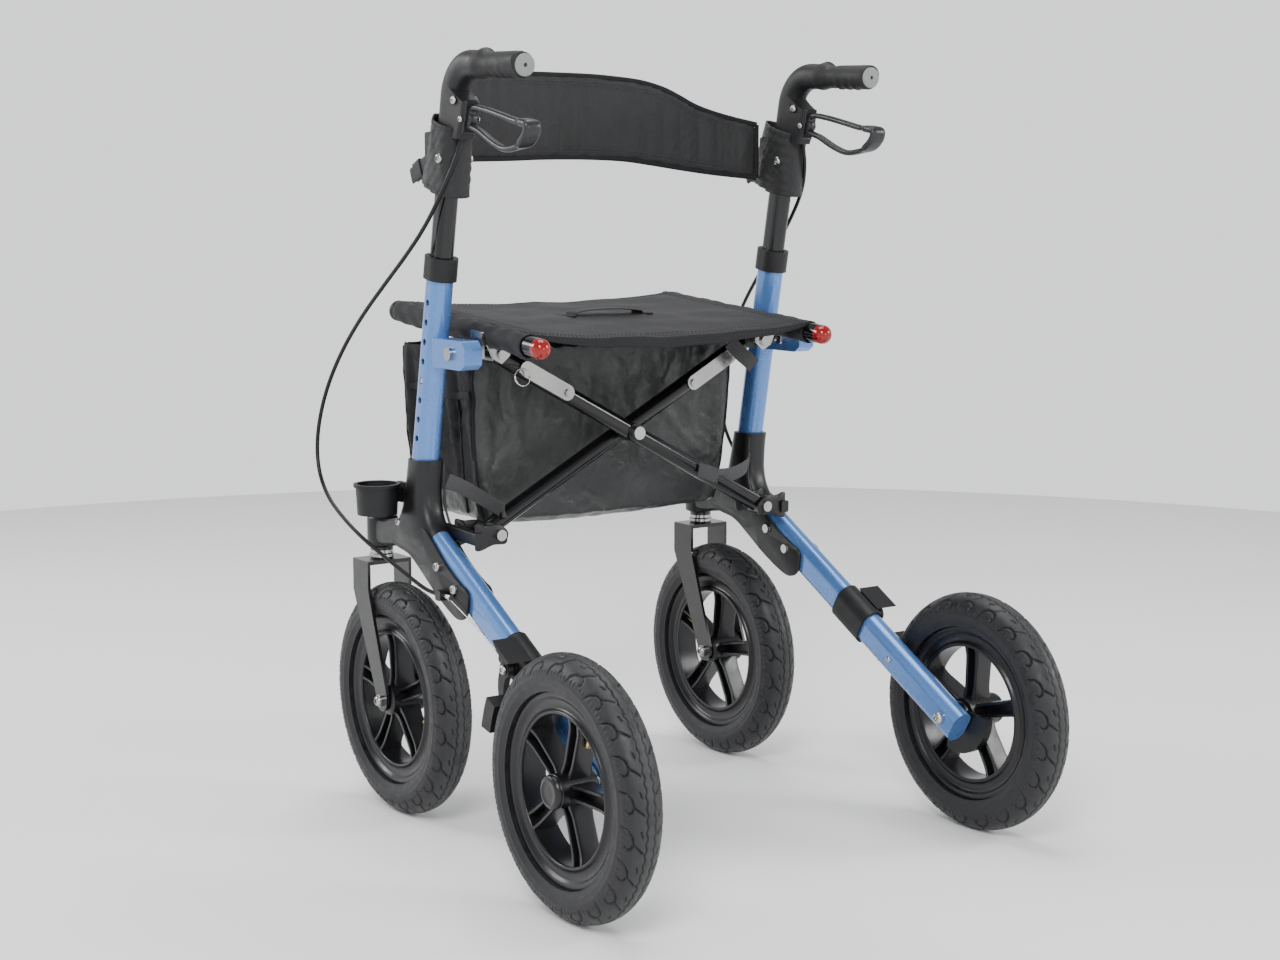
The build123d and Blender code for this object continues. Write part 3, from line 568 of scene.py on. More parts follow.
def rimGrids(node, axleCentre, outward, hubFrom, hubTo, capped):
    # a ring turned from its section, hollow-backed spokes of two ribs and a web, and a hub
    ringLine = [(0.0850, 0.0140), (0.0856, 0.0165), (0.0875, 0.0174), (0.0893, 0.0166), (0.0915, 0.0140),
                (0.0960, 0.0128), (0.1010, 0.0137), (0.1040, 0.0162), (0.1062, 0.0178), (0.1090, 0.0180),
                (0.1112, 0.0176), (0.1125, 0.0160), (0.1122, 0.0140), (0.1060, 0.0120), (0.1040, 0.0080)]
    section = np.array(ringLine + [(r, -x) for r, x in ringLine[::-1]] + ringLine[:1])
    section = smoothPath(np.hstack([section, 0 * section[:, :1]]), 110)[:, :2]
    grids = [turned(section, axleCentre, (outward, 0, 0), 128)]
    phase = rimPhase[node]
    for k in range(rim["spokes"]):
        a = phase + 2 * np.pi * k / rim["spokes"]
        along = np.array([0, math.cos(a), math.sin(a)])
        across = np.array([0, -math.sin(a), math.cos(a)])
        r = np.linspace(0.0130, 0.0875, 26)
        flare = 1 + 0.30 * np.exp(-((r - 0.0875) / 0.010) ** 2) + 0.25 * np.exp(-((r - 0.017) / 0.010) ** 2)
        for sign in (-1, 1):
            gap = rim["ribGap"] * (0.86 + 0.28 * (r - 0.013) / 0.0745)
            path = axleCentre + r[:, None] * along + sign * gap[:, None] * across
            grids.append(sweep(path, roundBox(rim["ribDeep"], rim["ribWide"], 0.3, 28), (1, 0, 0),
                               flare ** 0.8))
        path = axleCentre + r[:, None] * along
        grids.append(sweep(path, roundBox(0.0034, 0.0160, 0.3, 24), (1, 0, 0)))
    if capped:
        hub = [(0, hubFrom), (0.0180, hubFrom), (0.0200, hubFrom + 0.002), (0.0200, hubTo - 0.008),
               (0.0192, hubTo - 0.0072), (0.0192, hubTo - 0.0058), (0.0198, hubTo - 0.005),
               (0.0190, hubTo - 0.0022), (0.0172, hubTo - 0.0006), (0.0140, hubTo),
               (0.0130, hubTo - 0.0006), (0.0060, hubTo - 0.0005), (0, hubTo - 0.0003)]
    else:
        hub = [(0, hubFrom), (0.0160, hubFrom), (0.0195, hubFrom + 0.003), (0.0200, hubTo - 0.003),
               (0.0160, hubTo), (0, hubTo)]
    grids.append(turned(hub, axleCentre, (outward, 0, 0), 56))
    return grids


rimPhase = {"rim_rear_left": 1.85, "rim_rear_right": 1.62, "rim_caster_left": 1.5, "rim_caster_right": 1.7}


def makeRims():
    for side, sign in sideSigns.items():
        for kind, body, hubFrom, hubTo in (("rear", f"rear_wheel_{side}", -0.0225, 0.034),
                                           ("caster", f"caster_wheel_{side}", -0.026, 0.026)):
            node = f"rim_{kind}_{side}"
            grids = rimGrids(node, middle(f"tyre_{kind}_{side}"), sign, hubFrom, hubTo, kind == "rear")
            surfacePiece(f"moulded_rim_{kind}_{side}", grids, finishes["rim_plastic"], body,
                         replaced=[node])


makeTyres()
makeRims()
print("wheels made")

# ---- grips, levers and the small parts of the handles
gripShape = {"start": 0.0283, "end": -0.0715, "endZ": 0.954, "slope": 3.1, "radius": 0.0151, "rows": 90,
             "columns": 64}


def gripPoint(sign, s):
    # a point s metres back from the grip's front end, on its axis
    slope = math.radians(gripShape["slope"])
    total = (gripShape["start"] - gripShape["end"]) / math.cos(slope)
    y = gripShape["start"] - np.asarray(s) * math.cos(slope)
    z = gripShape["endZ"] + (total - np.asarray(s)) * math.sin(slope)
    return np.stack([np.full_like(y, sign * middle("handle_tube_right")[0]), y, z], -1)


def gripGrid(sign):
    # radius = a waisted tube + a peaked collar + finger ridges below + a palm wing above and outside
    length = (gripShape["start"] - gripShape["end"]) / math.cos(math.radians(gripShape["slope"]))
    s = np.linspace(0, length, gripShape["rows"])[:, None]
    a = np.linspace(0, 2 * np.pi, gripShape["columns"] + 1)[None]
    top, out = np.cos(a), np.sin(a)
    radius = gripShape["radius"] + 0.0024 * np.exp(-((s - 0.006) / 0.009) ** 2)
    radius = radius + 0.0036 * np.exp(-((s - 0.015) / 0.006) ** 2) * np.clip(top, 0, 1) ** 2
    radius = radius - 0.0012 * np.exp(-((s - 0.030) / 0.007) ** 2)
    under = np.clip(-top, 0, 1)
    window = np.clip((s - 0.024) / 0.008, 0, 1) * np.clip((length - 0.012 - s) / 0.008, 0, 1)
    radius = radius + 0.0011 * under * window * np.cos((s - 0.030) * 2 * np.pi / 0.0155)
    wing = np.exp(-((a - 0.9) / 0.75) ** 2)
    radius = radius + 0.0026 * wing * np.clip((s - 0.035) / 0.05, 0, 1) ** 1.5
    radius = radius * (1 - 0.16 * np.clip((s - length + 0.004) / 0.004, 0, 1) ** 2)
    path = gripPoint(sign, s[:, 0])
    tangent = unit(path[-1] - path[0])
    side = np.array([sign, 0, 0.0])
    up = np.cross(side, tangent) * sign
    up = up * np.sign(up[2])
    grid = path[:, None] + radius[..., None] * (top[..., None] * up + out[..., None] * side)
    return capEnds(grid), path[-1], tangent


leverShape = {
    "loop": [(0.057, 0.900), (0.041, 0.9085), (0.014, 0.9055), (-0.020, 0.8985), (-0.052, 0.8915),
             (-0.078, 0.8885), (-0.0865, 0.8855), (-0.0835, 0.8755), (-0.0700, 0.8655), (-0.050, 0.8610),
             (-0.026, 0.8600), (0.000, 0.8680), (0.028, 0.8805), (0.050, 0.8880)],
    "wide": 0.0105, "thick": 0.0072, "padWide": 0.023, "padThick": 0.0098, "pivot": (0.052, 0.896),
}


def leverGrids(sign):
    # a rounded bar round a closed D; it spreads into the finger pad where the loop turns back
    x = middle("handle_tube_right")[0]
    loop = [(x, y, z) for y, z in leverShape["loop"]]
    path = smoothPath(loop, 181, closed=True)
    pad = np.exp(-((path[:, 1] + 0.080) / 0.016) ** 4)[:, None, None]
    plain = roundBox(leverShape["wide"], leverShape["thick"], 0.75)
    broad = roundBox(leverShape["padWide"], leverShape["padThick"], 0.62)
    bar = sweep(path, plain + (broad - plain) * pad, (1, 0, 0), closed=True)
    y, z = leverShape["pivot"]
    hub = turned([(0, -0.0056), (0.0078, -0.0056), (0.0085, -0.0048), (0.0085, 0.0048), (0.0078, 0.0056),
                  (0, 0.0056)],
                 (x, y, z), (1, 0, 0))
    root = np.array([(x, 0.0525, 0.8845), (x, 0.0530, 0.8960), (x, 0.0500, 0.9085)])
    rootBar = sweep(smoothPath(root, 14), roundBox(0.0105, 0.013, 0.5), (1, 0, 0))
    return [mirrored(g, sign) for g in (bar, hub, rootBar)]


screw = {"radius": 0.0052, "rise": 0.0032}


def domeGrid(centre, axis, radius=None, rise=None, socket=0.45):
    # a domed head with a round recess in the middle, turned about the axis
    radius = radius or screw["radius"]
    rise = rise or screw["rise"]
    a = np.linspace(0, np.pi / 2, 9)
    dome = [(radius * math.cos(k), rise * math.sin(k)) for k in a[:-1]]
    dome = [p for p in dome if p[0] > radius * socket]
    top = dome[-1][1]
    profile = [(0, -0.0005), (radius, -0.0005)] + dome + [(radius * socket, top),
                                                          (radius * socket * 0.9, top - rise * 0.6),
                                                  (0, top - rise * 0.6)]
    return turned(profile, centre, axis, 24)


def makeHandles():
    x = middle("handle_tube_right")[0]
    half = 0.0148
    for side, sign in sideSigns.items():
        body = f"handle_{side}"
        grid, tip, tangent = gripGrid(sign)
        surfacePiece(f"soft_grip_{side}", [grid], finishes["grip_rubber"], body,
                     replaced=[f"grip_{side}"], sharp=50)
        cap = turned([(0, -0.001), (0.0131, -0.001), (0.0131, 0.0012), (0.0122, 0.0022), (0.0026, 0.0026),
                      (0.0022, 0.0012), (0, 0.0012)], tip, tangent, 48)
        surfacePiece(f"grip_end_{side}", [cap], finishes["endCap"], body)
        hole = turned([(0, 0.0012), (0.0021, 0.00125), (0.0021, 0.0016), (0, 0.0017)], tip, tangent, 20)
        surfacePiece(f"grip_hole_{side}", [hole], finishes["grip_rubber"], body)
        surfacePiece(f"loop_lever_{side}", leverGrids(sign), finishes["lever_grey"], f"lever_{side}",
                     replaced=[f"brake_lever_{side}"], sharp=50)
        heads = []
        for face in (-1, 1):
            heads.append(domeGrid((sign * x + face * half, 0.0672, 0.9185), (face, 0, 0)))
            heads.append(domeGrid((sign * x + face * 0.0125, 0.056, 0.896), (face, 0, 0), 0.0040, 0.002))
            heads.append(domeGrid((sign * x + face * 0.0214, 0.0925, 0.850), (face, 0, 0), 0.0062, 0.0040))
        heads.append(domeGrid((sign * x, 0.1135, 0.9035), (0, 0.98, 0.185), 0.0046, 0.003))
        surfacePiece(f"handle_screws_{side}", heads, finishes["zinc"], body)
        # the snap button's round head
        low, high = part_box(f"snap_button_{side}")
        face = high.x if sign > 0 else low.x
        y, z = middle(f"snap_button_{side}")[1:]
        head = turned([(0, -0.0074), (0.0060, -0.0074), (0.0060, -0.0046), (0.0036, -0.0045),
                       (0.0036, 0.0008), (0.0030, 0.0020), (0.0017, 0.0028),
                       (0, 0.0030)], (face, y, z), (sign, 0, 0), 28)
        surfacePiece(f"button_head_{side}", [head], finishes["zinc"], f"button_{side}",
                     replaced=[f"snap_button_{side}"])


makeHandles()
print("handles made")

# ---- the backrest: a padded band with bound edges, and a cloth sleeve round each clamp
pad = {"endX": 0.238, "endY": 0.1375, "midY": 0.200, "half": 0.0052, "edge": 0.0016, "rows": 44,
       "columns": 190,
       "topZ": ((-0.238, 0.928), (-0.215, 0.944), (-0.190, 0.9535), (-0.150, 0.958), (-0.074, 0.9598),
                (0, 0.9598), (0.041, 0.958), (0.082, 0.954), (0.114, 0.946), (0.137, 0.9355),
                (0.159, 0.9235), (0.181, 0.915), (0.209, 0.9065), (0.238, 0.899)),
       "lowZ": ((-0.238, 0.848), (-0.207, 0.850), (-0.123, 0.852), (-0.066, 0.854), (0, 0.8545),
                (0.057, 0.8525), (0.098, 0.8475), (0.137, 0.8415), (0.181, 0.835), (0.223, 0.830),
                (0.238, 0.8275)),
       "voxel": 0.0045, "cap": 0.006, "pressure": 4.0, "steps": 16}


def outlineAt(points, x):
    # the outline's smoothed curve, read at each x
    px, pz = np.array(points).T
    line = smoothPath(np.stack([px, pz, 0 * px], 1), 400)
    return np.interp(x, line[:, 0], line[:, 1])


def padPlace(x, share):
    # the band's middle surface: a bow in plan, and heights between the lower and upper outline
    rise = pad["midY"] - pad["endY"]
    bend = (pad["endX"] ** 2 + rise ** 2) / (2 * rise)
    y = pad["midY"] - bend + np.sqrt(bend ** 2 - x ** 2)
    low, top = outlineAt(pad["lowZ"], x), outlineAt(pad["topZ"], x)
    out = np.stack([x / bend, np.sqrt(1 - (x / bend) ** 2), np.zeros_like(x)], -1)
    return np.stack([x, y, low + (top - low) * share], -1), out


def padGrid():
    # the half thickness falls to the bound edge as the fourth root of the distance from it
    x = np.linspace(-pad["endX"], pad["endX"], pad["columns"])[None]
    share = np.linspace(0, 1, pad["rows"])[:, None]
    x, share = np.broadcast_arrays(x, share)
    place, out = padPlace(x, share)
    rim = np.clip(4 * share * (1 - share), 0, 1) * np.clip((pad["endX"] - np.abs(x)) / 0.018, 0, 1)
    thick = (pad["edge"] + (pad["half"] - pad["edge"]) * rim ** 0.3)[..., None]
    front, back = place + out * thick, place - out * thick
    return np.concatenate([front, back[::-1], front[:1]])


def applyModifiers(piece):
    held = bpy.context.evaluated_depsgraph_get()
    mesh = bpy.data.meshes.new_from_object(piece.evaluated_get(held))
    piece.modifiers.clear()
    piece.data = mesh


def swell(piece, look, held):
    # pressure inside a cloth skin fills the pad; its rim is held and no point travels further than the cap
    remesh = piece.modifiers.new("remesh", "REMESH")
    remesh.mode = "VOXEL"
    remesh.voxel_size = look["voxel"]
    applyModifiers(piece)
    before = readPoints(piece)
    cloth = piece.modifiers.new("cloth", "CLOTH")
    cloth.settings.use_pressure = True
    cloth.settings.uniform_pressure_force = look["pressure"]
    cloth.settings.effector_weights.gravity = 0
    group = piece.vertex_groups.new(name="held")
    group.add([int(k) for k in np.nonzero(held(before))[0]], 1.0, "REPLACE")
    cloth.settings.vertex_group_mass = "held"
    for step in range(1, look["steps"] + 1):
        bpy.context.scene.frame_set(step)
    applyModifiers(piece)
    bpy.context.scene.frame_set(1)
    after = readPoints(piece)
    move = after - before
    size = np.linalg.norm(move, axis=1, keepdims=True)
    writePoints(piece, before + move * np.minimum(1, look["cap"] / np.maximum(size, 1e-9)))


def readPoints(piece):
    points = np.zeros(len(piece.data.vertices) * 3, np.float32)
    piece.data.vertices.foreach_get("co", points)
    return points.reshape(-1, 3).astype(float)


def writePoints(piece, points):
    piece.data.vertices.foreach_set("co", points.astype(np.float32).ravel())
    piece.data.update()


def planarUv(piece, first, second):
    # UV in metres: the two given directions measure each corner of each face
    mesh = piece.data
    layer = mesh.uv_layers.get("along") or mesh.uv_layers.new(name="along")
    corner = np.zeros(len(mesh.loops), np.int32)
    mesh.loops.foreach_get("vertex_index", corner)
    points = readPoints(piece)[corner]
    layer.data.foreach_set("uv", np.stack([points @ np.array(first), points @ np.array(second)],
                                          1).astype(np.float32).ravel())


def subdivided(piece, levels=1):
    step = piece.modifiers.new("smooth", "SUBSURF")
    step.levels = levels
    step.render_levels = levels
    applyModifiers(piece)


def stitchGrids(path, outward, length=0.0034, gap=0.0018, wide=0.0009, rise=0.0005):
    # one small lens-shaped thread per stitch, spaced along the path
    run = np.linalg.norm(np.diff(path, axis=0), axis=1).sum()
    count = max(2, int(run / (length + gap)))
    centres = smoothPath(path, count)
    tangent = unit(np.gradient(centres, axis=0))
    outward = unit(np.broadcast_to(np.array(outward, float), centres.shape) + 0 * centres)
    across = np.cross(tangent, outward)
    s = np.array([-1, -0.6, 0.6, 1])[:, None]
    a = np.linspace(0, 2 * np.pi, 6)[None]
    body = np.sqrt(np.clip(1 - np.abs(s) ** 4, 0, 1))
    along = (s * length / 2 * np.ones_like(a))[None, ..., None] * tangent[:, None, None]
    sideways = (body * np.cos(a) * wide / 2)[None, ..., None] * across[:, None, None]
    height = (body * np.sin(a) * rise)[None, ..., None] * outward[:, None, None]
    return list(centres[:, None, None] + along + sideways + height)


def padRim(points):
    x = points[:, 0]
    low, top = outlineAt(pad["lowZ"], x), outlineAt(pad["topZ"], x)
    edge = np.minimum(points[:, 2] - low, top - points[:, 2])
    return (edge < 0.005) | (np.abs(x) > pad["endX"] - 0.006)


def creases(u, v, seed, count, reach, long, wide):
    # straight folds in random places: each is a sharp ridge across its line and fades along it
    draw = np.random.default_rng(seed)
    total = np.zeros_like(u)
    for _ in range(count):
        u0, v0 = draw.uniform(*reach[0]), draw.uniform(*reach[1])
        turn = draw.choice([1, -1]) * draw.uniform(0.5, 1.45)
        along = (u - u0) * math.cos(turn) + (v - v0) * math.sin(turn)
        off = (v - v0) * math.cos(turn) - (u - u0) * math.sin(turn)
        off = off + 0.25 * along ** 2 / long * draw.uniform(-1, 1)
        size = draw.uniform(0.6, 1.5)
        ridge = np.exp(-np.abs(off) / (wide * size)) - 0.45 * np.exp(-(off / (2.6 * wide * size)) ** 2)
        total += (draw.choice([1, 1, -0.7]) * draw.uniform(0.5, 1)
                  * ridge * np.exp(-(along / (long * size)) ** 2))
    return total


def wrinkles(x, z, seed, count, low, high):
    # a sum of skewed waves, each wandering sideways with height
    draw = np.random.default_rng(seed)
    total = np.zeros_like(x)
    for _ in range(count):
        size, lean, phase, fade = (draw.uniform(low, high), draw.uniform(-0.25, 0.25),
                                   draw.uniform(0, 6.28), draw.uniform(20, 60))
        wave = np.sin(2 * np.pi * (x + lean * z) / size + phase + 0.8 * np.sin(z * fade + phase))
        total += np.sign(wave) * np.abs(wave) ** 1.6 * draw.uniform(0.4, 1.0)
    return total / count


def makeBackrest():
    band = surfacePiece("padded_backrest", [padGrid()], finishes["backrest_fabric"], None, ride=False)
    swell(band, pad, padRim)
    subdivided(band)
    points = readPoints(band)
    x = points[:, 0]
    place, out = padPlace(x, np.full_like(x, 0.5))
    low, top = outlineAt(pad["lowZ"], x), outlineAt(pad["topZ"], x)
    share = np.clip((points[:, 2] - low) / (top - low), 0, 1)
    inside = np.clip(4 * share * (1 - share), 0, 1) ** 0.5 * np.clip((pad["endX"] - np.abs(x)) / 0.02, 0, 1)
    crease = wrinkles(x, points[:, 2] - 0.9, 5, 7, 0.020, 0.058) * 2.2
    folds = creases(points[:, 2], x, 14, 46, ((0.83, 0.96), (-0.23, 0.23)), 0.020, 0.0022)
    bend = wrinkles(x, 0.2 * points[:, 2], 6, 3, 0.024, 0.036)
    face = np.sign(((points - place) * out).sum(1))
    writePoints(band, points + out * (face * (0.0015 * crease + 0.0012 * folds + 0.0024 * bend)
                                      * inside)[:, None])
    planarUv(band, (1, 0.15, 0), (0, 0, 1))
    smoothShade(band, 60)
    band.data.materials.clear()
    band.data.materials.append(finishes["backrest_fabric"])
    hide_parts("backrest")
    # the bound edge: a folded tape round the whole outline
    line = np.linspace(-pad["endX"], pad["endX"], 140)
    tapes, threads = [], []
    for share in (0.0, 1.0):
        path, out = padPlace(line, np.full_like(line, share))
        tapes.append(sweep(path, roundBox(0.0058, 0.0070, 0.7, 20), out))
        inset = 0.0075 * (1 if share == 0 else -1)
        for nudge in (0.0, 0.0042 * (1 if share == 0 else -1)):
            row = path + np.array([0, 0, inset + nudge])
            for face in (-1, 1):
                threads += stitchGrids(row + out * face * 0.0072, face * out[len(out) // 2])
    for end in (-1, 1):
        share = np.linspace(0, 1, 24)
        path, out = padPlace(np.full_like(share, end * pad["endX"]), share)
        tapes.append(sweep(path, roundBox(0.0058, 0.0060, 0.7, 20), out))
    binding = surfacePiece("backrest_binding", tapes, finishes["bagSide"], None,
                           ride=False)
    thread = surfacePiece("backrest_stitches", threads, finishes["thread"], None,
                          ride=False)
    for piece in (band, binding, thread):
        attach(piece, "handle_left")
        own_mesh(piece)


sleeve = {"rearLow": (0.079, 0.802), "rearTop": (0.071, 0.886), "frontLow": (0.170, 0.827),
          "frontTop": (0.137, 0.905), "half": 0.0208, "rows": 40, "columns": 96}


def sleeveGrid(sign):
    # the loop round the clamp: a rounded rear, straight cheeks and a pinched front seam, at each height
    v = np.linspace(0, 1, sleeve["rows"])[:, None]
    a = np.linspace(0, 2 * np.pi, sleeve["columns"] + 1)[None]
    w = 0.5 - 0.5 * np.cos(a)
    rear = np.clip(w / 0.22, 0, 1)
    width = np.sqrt(np.clip(1 - (1 - rear) ** 2, 0, 1))
    front = np.clip((w - 0.50) / 0.50, 0, 1)
    width = width * (1 - 0.86 * front ** 1.3)
    face = np.sign(np.sin(a))
    pucker = 0.0007 * np.sin(w * 31 + v * 9) * np.sin(v * 17 + w * 7) + 0.0005 * np.sin(v * 44 + 3 * face)
    x = face * (sleeve["half"] * width + pucker * (width > 0.5)) - 0.002 * front
    lowY, lowZ = (sleeve["rearLow"][k] + (sleeve["frontLow"][k] - sleeve["rearLow"][k]) * w for k in (0, 1))
    topY, topZ = (sleeve["rearTop"][k] + (sleeve["frontTop"][k] - sleeve["rearTop"][k]) * w for k in (0, 1))
    y = lowY + (topY - lowY) * v
    z = lowZ + (topZ - lowZ) * v
    hem = np.exp(-(v / 0.05) ** 2) + np.exp(-((1 - v) / 0.05) ** 2)
    x = x + face * 0.0008 * hem * (width > 0.3)
    grid = np.stack([middle("handle_tube_right")[0] + x, y + 0 * x, z + 0 * x], -1)
    return mirrored(grid, sign)


def makeSleeves():
    for side, sign in sideSigns.items():
        cloth = surfacePiece(f"clamp_sleeve_{side}", [sleeveGrid(sign)], finishes["backrest_fabric"],
                             f"handle_{side}", sharp=60)
        wall = cloth.modifiers.new("wall", "SOLIDIFY")
        wall.thickness = 0.0014
        wall.offset = 0
        grid = sleeveGrid(sign)
        threads = []
        for row in (2, -3):
            for columns in (slice(8, 42), slice(-43, -8)):
                path = grid[row, columns]
                outward = np.sign(path[:, 0].mean() - sign * middle("handle_tube_right")[0])
                threads += stitchGrids(path + np.array([outward * 0.0011, 0, 0]), (outward, 0, 0))
        surfacePiece(f"sleeve_stitches_{side}", threads, finishes["thread"], f"handle_{side}")
        # the buckle tab in front of the sleeve
        x = sign * (middle("handle_tube_right")[0] + 0.004)
        tab = np.array([(x, 0.150, 0.846), (x, 0.166, 0.840), (x, 0.182, 0.833), (x, 0.192, 0.829)])
        bar = sweep(smoothPath(tab, 24), roundBox(0.003, 0.020, 0.5), (1, 0, 0))
        plate = sweep(smoothPath(tab[1:3], 8), roundBox(0.006, 0.024, 0.35), (1, 0, 0))
        surfacePiece(f"sleeve_buckle_{side}", [bar, plate], finishes["black_plastic"], f"handle_{side}")


makeBackrest()
makeSleeves()
print("backrest made")

# ---- the seat: a sling between the rails, a sleeve round each rail, and its hand loop
seat = {"rearY": -0.010, "frontY": 0.308, "half": 0.2125, "sag": 0.0060, "hem": 0.013, "hemSag": 0.005,
        "wall": 0.0016, "sleeveRadius": 0.0138}


railRise = {"y": 0.090, "z": 0.635, "slope": math.radians(4.6)}  # a point on the rails, and how they rise


def railLine(y):
    # height grows in a straight line towards the front; x is the rail's middle
    low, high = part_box("seat_rail_right")
    slope = math.tan(railRise["slope"])
    return railRise["z"] + (np.asarray(y) - railRise["y"]) * slope, (low.x + high.x) / 2


def seatGrid():
    # height = the rails' top line - a sag that grows to the middle + a few tight pulls from the corners
    x = np.linspace(-1, 1, 150)[None]
    v = np.linspace(0, 1, 120)[:, None]
    y = seat["rearY"] + (seat["frontY"] - seat["rearY"]) * v
    rail, _ = railLine(y)
    edge = 1 - np.abs(x) ** 2.2
    rearDip = seat["hemSag"] * np.exp(-(v / 0.10) ** 2)
    frontDip = 0.003 * np.exp(-((1 - v) / 0.08) ** 2)
    z = rail + 0.0137 - edge * (seat["sag"] + rearDip + frontDip)
    pull = (np.sin(26 * v + 5 * np.abs(x)) * 0.0007
            + wrinkles(x * 0.2 + 0 * v, v * 0.3 + 0 * x, 9, 5, 0.05, 0.16) * 0.0022)
    z = z + pull * edge ** 0.5
    bow = 0.004 * edge * ((v < 0.5) * np.exp(-(v / 0.12) ** 2) - 0.5 * np.exp(-((1 - v) / 0.12) ** 2))
    grid = np.stack([x * seat["half"] + 0 * y, y + bow, z], -1)
    hang = np.linspace(0, 1, 8)[1:, None, None]
    rear = (grid[:1] + hang[::-1] * np.array([0, 0.0015, -1]) * seat["hem"]
            * (0.35 + 0.65 * edge.T[None, :, :]))
    front = grid[-1:] + hang * np.array([0, -0.001, -1]) * 0.014
    return np.concatenate([rear, grid, front])


def makeSeat():
    sheet = surfacePiece("seat_sling", [seatGrid()], finishes["seat_fabric"], None,
                         ride=False, sharp=50)
    wall = sheet.modifiers.new("wall", "SOLIDIFY")
    wall.thickness = seat["wall"]
    wall.offset = 0
    applyModifiers(sheet)
    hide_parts("seat_cloth")
    grid = seatGrid()
    rows = grid.shape[0]
    threads = []
    up = (0, 0, 1)
    for row in (9, 13, rows - 12):
        threads += stitchGrids(grid[row] + np.array([0, 0, 0.0012]), up, 0.0036, 0.002)
    for column in (3, 6, -4, -7):
        threads += stitchGrids(grid[8:-8, column] + np.array([0, 0, 0.0012]), up, 0.0036, 0.002)
    threads += stitchGrids(grid[4] + np.array([0, -0.0013, 0]), (0, -1, 0), 0.0036, 0.002)
    thread = surfacePiece("seat_stitches", threads, finishes["thread"], None, ride=False)
    # the lifting loop lies on the cloth across the middle, its ends going down through two slits
    middleRow = grid[7 + 62]
    loop = middleRow[56:95] + np.array([0, 0, 0.0026])
    loop[:, 2] += 0.006 * np.sin(np.linspace(0, np.pi, len(loop))) ** 0.5
    loop[0, 2] -= 0.006
    loop[-1, 2] -= 0.006
    strap = surfacePiece("lifting_strap", [sweep(loop, roundBox(0.026, 0.0016, 0.4), (0, 1, 0))],
                         finishes["seat_fabric"], None, ride=False)
    slits = []
    for column in (54, 96):
        centre = middleRow[column] + np.array([0, 0, 0.0008])
        t = np.linspace(-0.021, 0.021, 20)
        line = centre + np.stack([0 * t, t, 0 * t], 1)
        slits.append(sweep(line, roundBox(0.007, 0.0022, 0.6), (1, 0, 0)))
    slit = surfacePiece("strap_slits", slits, finishes["bagSide"], None, ride=False)
    for piece in (sheet, thread, strap, slit):
        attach(piece, "rail_left")
        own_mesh(piece)
    for side, sign in sideSigns.items():
        y = np.linspace(seat["rearY"] + 0.002, seat["frontY"], 110)
        z, x = railLine(y)
        a = np.linspace(0, 2 * np.pi, 41)[None]
        v = ((y - y[0]) / (y[-1] - y[0]))[:, None]
        radius = (seat["sleeveRadius"] + 0.0005 * np.sin(v * 60 + 2 * np.sin(a * 2))
                  + 0.0004 * np.sin(v * 23 + a * 3))
        grid = np.stack([sign * x + radius * np.cos(a), y[:, None] + 0 * a,
                         z[:, None] + radius * np.sin(a)], -1)
        cloth = surfacePiece(f"rail_sleeve_{side}", [grid], finishes["seat_fabric"], f"rail_{side}")
        wall = cloth.modifiers.new("wall", "SOLIDIFY")
        wall.thickness = 0.0012
        wall.offset = 0
        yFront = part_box("seat_rail_right")[1].y
        zFront, _ = railLine(yFront)
        plug = turned([(0, -0.004), (0.0125, -0.004), (0.0136, -0.002), (0.0136, 0.003), (0.0115, 0.0065),
                       (0, 0.0078)],
                      (sign * x, yFront - 0.001, zFront), (0, 1, 0.08), 36)
        surfacePiece(f"rail_front_plug_{side}", [plug], finishes["black_plastic"], f"rail_{side}")


makeSeat()
print("seat made")

# ---- the bag: a slack shell of cloth hung by its rim, wrinkled by a cloth run
bag = {"halfX": 0.2065, "rearY": 0.1440, "frontY": 0.3400, "rimZ": 0.6100, "floorZ": 0.3900,
       "corner": 0.022, "around": 224, "down": 50, "inward": 18, "grow": 0.045, "steps": 26, "cap": 0.013,
       "wall": 0.0012}


def bagGrid():
    # a rounded rectangle carried down with a slight taper, then drawn in to close the floor
    centreY, halfY = (bag["rearY"] + bag["frontY"]) / 2, (bag["frontY"] - bag["rearY"]) / 2
    v = np.linspace(0, 1, bag["down"])[:, None]
    corner = bag["corner"]
    a = np.linspace(0, np.pi / 2, 12)
    turn = np.stack([np.cos(a), np.sin(a)], 1) * corner
    inner = np.array([bag["halfX"] - corner, halfY - corner])
    ring = np.vstack([inner + turn, inner * [-1, 1] + turn[::-1] * [-1, 1], -inner - turn,
                      inner * [1, -1] + turn[::-1] * [1, -1]])
    ring = np.vstack([ring, ring[:1]])
    length = np.concatenate([[0], np.cumsum(np.linalg.norm(np.diff(ring, axis=0), axis=1))])
    even = np.linspace(0, length[-1], bag["around"] + 1)
    cx, cy = (np.interp(even, length, ring[:, k])[None] / size
              for k, size in ((0, bag["halfX"]), (1, halfY)))
    taper = 1 - 0.05 * v ** 3
    x = bag["halfX"] * taper * cx
    y = centreY + halfY * (1 - 0.03 * v ** 3) * cy
    z = bag["rimZ"] + (bag["floorZ"] - bag["rimZ"]) * v + 0 * x
    droop = 0.012 * v ** 4 * np.cos(x / bag["halfX"] * 1.4)
    wall = np.stack([x, y, z - droop + 0.012 * v ** 4], -1)
    w = np.linspace(1, 0, bag["inward"] + 1)[1:, None]
    last = wall[-1]
    centre = np.array([0, centreY, bag["floorZ"] - 0.004])
    floorGrid = centre + (last - centre)[None] * w[..., None]
    return np.concatenate([wall, floorGrid])


